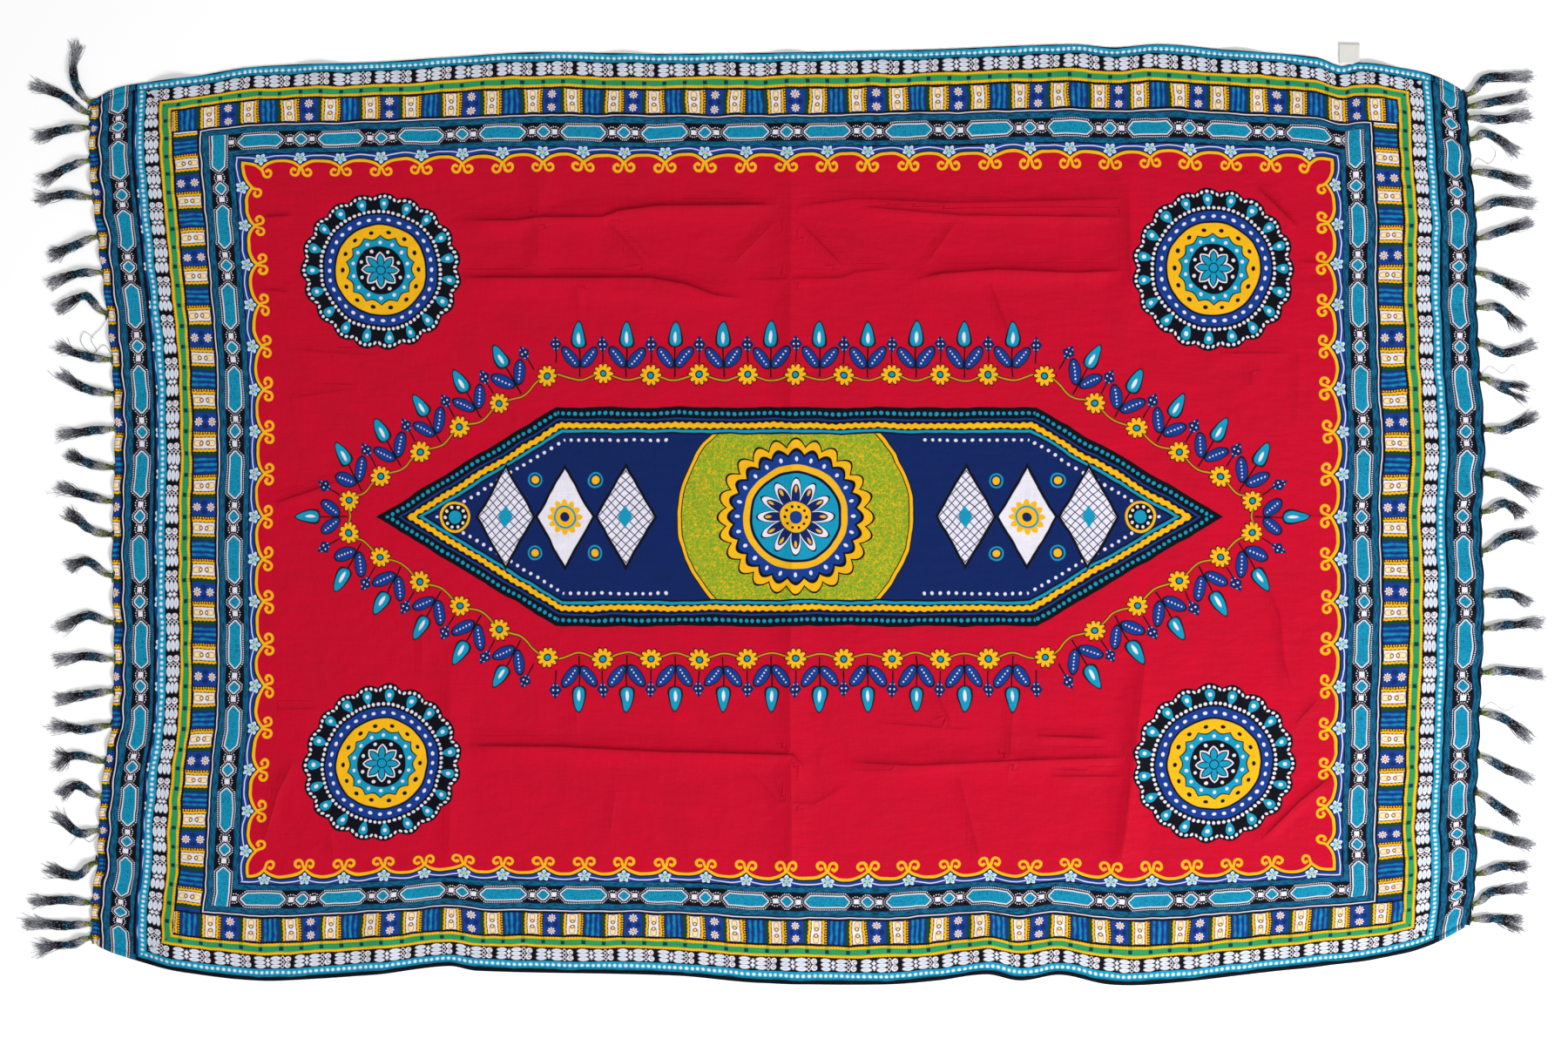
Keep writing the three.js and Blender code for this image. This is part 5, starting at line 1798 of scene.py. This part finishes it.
def tassel_yarns(side, row, number):
    """Ring centres of one tassel's yarns: an array of yarns x rings x 3."""
    base, step = end_spot(side, ROOTS[side][number])
    start = base + step * (HEADER_WIDTH - 1.0)
    t = np.linspace(0, 1, YARN_RINGS)
    rooted = np.clip(1 - t / ROOTED_TO, 0, 1)
    drop = np.clip(1 - t / DOWN_AT, 0, 1) * base[2]
    loose = share_from(t, LOOSE_FROM) ** LOOSE_POWER
    strands = []
    for yarn in range(YARNS_EACH):
        around = 2 * np.pi * (yarn * GOLDEN_SHARE % 1)
        radius = math.sqrt((yarn + 0.5) / YARNS_EACH)
        parted = math.cos(around) * side * row[-1] > 0
        reach = 1 + rng.normal(0, REACH_SWING)
        if yarn % LONG_YARN_EACH == 0:
            reach += LONG_YARN_MORE * rng.random()
        flat = route_curve(yarn_spots(row, reach, parted))(t)
        heading = np.gradient(flat, axis=0)
        heading /= np.linalg.norm(heading, axis=1, keepdims=True)
        aside = np.stack([-heading[:, 1], heading[:, 0]], axis=-1)
        turned = around + 2 * np.pi * TURNS * t * (1 if number % 2 else -1)
        wide = np.interp(t, bunch_at, bunch_wide) * radius * np.cos(turned)
        # At the root the yarns lie side by side in the order in which they leave the cloth.
        wide = wide * (1 - rooted) + rooted * (2 * (yarn + 0.5) / YARNS_EACH - 1) * ROOT_SPREAD
        high = np.interp(t, bunch_at, bunch_high) * (1 + radius * np.sin(turned))
        waver = WAVER * rng.normal(0, 1, 2)[0]
        rhythm = 2 * np.pi * rng.uniform(*RHYTHM)
        sway_phase, slip_phase = rng.uniform(0, 2 * np.pi, 2)
        frayed = rng.normal(0, FRAY) * share_from(t, FRAYED_FROM) ** 2
        wide = wide + frayed + loose * (waver + SWAY * np.sin(rhythm * t + sway_phase))
        slip = loose * SLIP * np.sin(rhythm * t + slip_phase)
        centre = flat + aside * wide[:, None] + heading * slip[:, None]
        height = STRAND_FLOOR + YARN_RADIUS + drop + high * (1 - LOOSE_SINK * loose)
        in_row = np.maximum(height * (1 - rooted), rooted * (drop + ROOT_HEIGHT))
        height = np.where(rooted > 0, in_row, height)
        x, y = start[0] + side * centre[:, 0], start[1] + centre[:, 1]
        strands.append(np.stack([x, y, height], axis=-1))
    return np.array(strands)


def yarn_tubes(strands, radius):
    """Three-sided tubes along the strands: their points, and the faces of all of them."""
    heading = np.gradient(strands, axis=1)
    heading /= np.maximum(np.linalg.norm(heading, axis=-1, keepdims=True), 1e-6)
    aside = np.cross(heading, [0, 0, 1.0])
    aside /= np.maximum(np.linalg.norm(aside, axis=-1, keepdims=True), 1e-6)
    above = np.cross(aside, heading)
    count, rings, _ = strands.shape
    taper = np.interp(np.linspace(0, 1, rings), [0, 0.75, 1], [1, 1, 0.55])[None, :, None]
    corners = []
    for k in range(YARN_SIDES):
        turn = 2 * np.pi * k / YARN_SIDES + np.pi / 2
        corners.append(strands + radius * taper * (aside * math.cos(turn) + above * math.sin(turn)))
    return np.stack(corners, axis=2).reshape(-1, 3), many_tubes(count, rings, YARN_SIDES)


# %% The two fringes
# Rows of (side, root's place along the end, then points out and along from it) of loose threads.
LOOSE_THREADS = [
    (-1, 191, [(4, 0), (16, 18), (30, 8), (44, 22), (40, 34), (28, 26)]),
    (-1, 246, [(4, 0), (14, -16), (26, -30), (20, -44), (34, -52)]),
    (1, 169, [(4, 0), (18, 14), (34, 6), (46, 16), (54, 6)]),
    (1, 416, [(4, 0), (14, 16), (28, 10), (36, 22), (30, 32)]),
    (-1, -375, [(4, 0), (18, -14), (30, -6), (42, -18)]),
    (1, -234, [(4, 0), (20, 12), (38, 2), (52, 12)]),
]
LOOSE_RADIUS = 0.3
LOOSE_RUN = 62.0  # a loose thread has the colour that a yarn has this far along
LOOSE_NUMBER = 2000  # past the numbers of the yarns


def loose_line(side, root, spots):
    """Ring centres of a loose thread that lies on the floor."""
    base, _ = end_spot(side, cut_place(side, root))
    flat = route_curve(spots)(np.linspace(0, 1, 3 * YARN_RINGS))
    height = np.full(len(flat), STRAND_FLOOR + 2 * LOOSE_RADIUS)
    return np.stack([base[0] + side * flat[:, 0], base[1] + flat[:, 1], height], axis=-1)


def yarn_marks(strands):
    """For each corner of each ring, how far along its yarn it lies, and the yarn's number."""
    count, rings, _ = strands.shape
    steps = np.linalg.norm(np.diff(strands, axis=1), axis=-1)
    run = np.concatenate([np.zeros((count, 1)), np.cumsum(steps, axis=1)], axis=1)
    run = np.broadcast_to(run[:, :, None], (count, rings, YARN_SIDES))
    which = np.broadcast_to(np.arange(count)[:, None, None], run.shape)
    return np.stack([run, which], axis=-1).reshape(-1, 2)


def fringe(side, name, node):
    strands = np.concatenate([tassel_yarns(side, row, n) for n, row in enumerate(TASSELS[side])])
    points, faces = yarn_tubes(strands, YARN_RADIUS)
    marks = yarn_marks(strands)
    for number, (thread_side, root, spots) in enumerate(LOOSE_THREADS):
        if thread_side == side:
            more, more_faces = yarn_tubes(loose_line(side, root, spots)[None], LOOSE_RADIUS)
            faces += [tuple(corner + len(points) for corner in face) for face in more_faces]
            points = np.vstack([points, more])
            mark = [LOOSE_RUN, LOOSE_NUMBER + number]
            marks = np.vstack([marks, np.tile(mark, (len(more), 1))])
    piece = new_piece(name, points, faces, node, [yarn_material])
    write_layer(piece, "yarn", marks)
    triangles = sum(len(face) - 2 for face in faces)
    print(name, "has", len(strands), "yarns and", triangles, "triangles")
    return piece


fringe_left = fringe(-1, "fringe_left_yarns", "fringe_left")
fringe_right = fringe(1, "fringe_right_yarns", "fringe_right")

# %% [markdown]
# ## The label
# A short length of satin tape, folded end to end with both ends caught in the back hem. It is
# left blank. A thin closed profile is carried across the tape's width: up over the lower layer,
# round the fold and back along the upper one, which stands a hair's breadth off the lower.

# %% Label
LABEL_WIDTH = 25
LABEL_REACH = 25
LABEL_WALL = 1.0
LABEL_SLOT = 0.5
LABEL_TURN = math.radians(-1.5)
LABEL_BOW = 0.25  # how far the upper layer sinks in the middle
NARROWED_SHARE, NARROWED_OUT = 0.06, 9  # the hem's stitches draw the tape in, up to this far out
FOLD_STEPS = 8
LABEL_STEPS = 12
LABEL_COLUMNS = 14


def label_profile():
    """Points (out, up) of the folded tape's section, outer line first, then the inner one."""
    outer = LABEL_WALL + LABEL_SLOT / 2
    inner = LABEL_SLOT / 2
    fold = LABEL_REACH - outer
    turns = np.linspace(-np.pi / 2, np.pi / 2, FOLD_STEPS)
    straight = np.linspace(0, fold, LABEL_STEPS)[:-1]
    points = [(out, 0) for out in straight]
    points += [(fold + outer * math.cos(turn), outer + outer * math.sin(turn)) for turn in turns]
    points += [(out, 2 * outer) for out in straight[::-1]]
    points += [(out, outer + inner) for out in straight]
    points += [(fold + inner * math.cos(turn), outer + inner * math.sin(turn)) for turn in turns[::-1]]
    points += [(out, outer - inner) for out in straight[::-1]]
    return np.array(points)


def label():
    low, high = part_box("label")
    middle_x = (low.x + high.x) / 2 / MM
    start_y = low.y / MM + math.sin(abs(LABEL_TURN)) * LABEL_WIDTH / 2
    profile = label_profile()
    across = np.linspace(-LABEL_WIDTH / 2, LABEL_WIDTH / 2, LABEL_COLUMNS)
    out, up = (np.tile(line, (len(across), 1)) for line in profile.T)
    narrowed = 1 - NARROWED_SHARE * (1 - np.clip(out / NARROWED_OUT, 0, 1))
    aside = across[:, None] * narrowed
    bow = LABEL_BOW * np.sin(np.pi * out / LABEL_REACH) * np.cos(np.pi * aside / LABEL_WIDTH)
    up = up - bow * (up > LABEL_WALL + LABEL_SLOT / 2)
    x = middle_x + aside * math.cos(LABEL_TURN) - (out - LABEL_REACH / 2) * math.sin(LABEL_TURN)
    y = start_y + out * math.cos(LABEL_TURN) + aside * math.sin(LABEL_TURN)
    points = np.stack([x, y, np.maximum(up, 0)], axis=-1)
    faces = tube_faces(len(across), len(profile))
    piece = new_piece("label_tape", points, faces, "label", [tape_material])
    write_layer(piece, "tape", np.stack([aside, out], axis=-1))
    return piece


tape = label()

# %% [markdown]
# ## The flat cut
# The length and width that the cloth was cut to, before it drew in.

# %% The flat cut
print("flat cut:", 2 * HALF_LENGTH, "x", 2 * HALF_WIDTH, "mm")

# %% [markdown]
# ## Floor, camera and light
# The cloth lies on a plain pale floor and is seen from straight above with a long lens, so that
# its outline stays true. One very large soft lamp stands over it, a little to one side, because
# light that comes from everywhere would hide the creases, and a pale surrounding light fills
# their shadows.

# %% Floor
FLOOR_REACH = 6.0  # metres
FLOOR_COLOUR = (0.96, 0.96, 0.96, 1)


def floor():
    mesh = bpy.data.meshes.new("floor")
    sides = ((-1, -1), (1, -1), (1, 1), (-1, 1))
    corners = [(x * FLOOR_REACH, y * FLOOR_REACH, cad_low.z) for x, y in sides]
    mesh.from_pydata(corners, [], [(0, 1, 2, 3)])
    material, _ = new_material("pale floor")
    mesh.materials.append(dress(material, {"Base Color": FLOOR_COLOUR, "Roughness": 0.9}))
    piece = add_object("floor", mesh)


floor()
print("floor at", round(cad_low.z / MM, 2), "mm")

# %% Camera
LENS = 85
FILM_WIDTH = 36
VIEW_WIDTH = 1890  # mm of floor that the frame spans
VIEW_MIDDLE = (-0.84, -9.9)

camera_data = bpy.data.cameras.new("camera")
camera_data.lens = LENS
camera_data.sensor_width = FILM_WIDTH
camera_data.sensor_fit = "HORIZONTAL"
camera_data.clip_end = 100
camera = add_object("camera", camera_data)
camera.location = (VIEW_MIDDLE[0] * MM, VIEW_MIDDLE[1] * MM, VIEW_WIDTH * MM * LENS / FILM_WIDTH)
bpy.context.scene.camera = camera
print("camera height:", round(camera.location.z, 3), "m")

# %% Light
# Rows of (name, place in m, size in m, power in W).
LAMPS = [
    ("large soft lamp", (2.2, -2.4, 2.2), 1.5, 170),
    ("overhead fill", (-0.4, 0.6, 4.4), 3.6, 74),
]
for name, spot, size, power in LAMPS:
    lamp_data = bpy.data.lights.new(name, "AREA")
    lamp_data.shape = "DISK"
    lamp_data.size = size
    lamp_data.energy = power
    lamp = add_object(name, lamp_data)
    lamp.location = spot
    lamp.rotation_euler = (-Vector(spot)).to_track_quat("-Z", "Y").to_euler()

SURROUNDING_LIGHT = 0.36
world = bpy.data.worlds.new("studio")
world.use_nodes = True
background = world.node_tree.nodes["Background"]
background.inputs["Color"].default_value = (1, 1, 1, 1)
background.inputs["Strength"].default_value = SURROUNDING_LIGHT
bpy.context.scene.world = world
bpy.context.scene.view_settings.view_transform = "Standard"
print("lamps:", [row[0] for row in LAMPS])
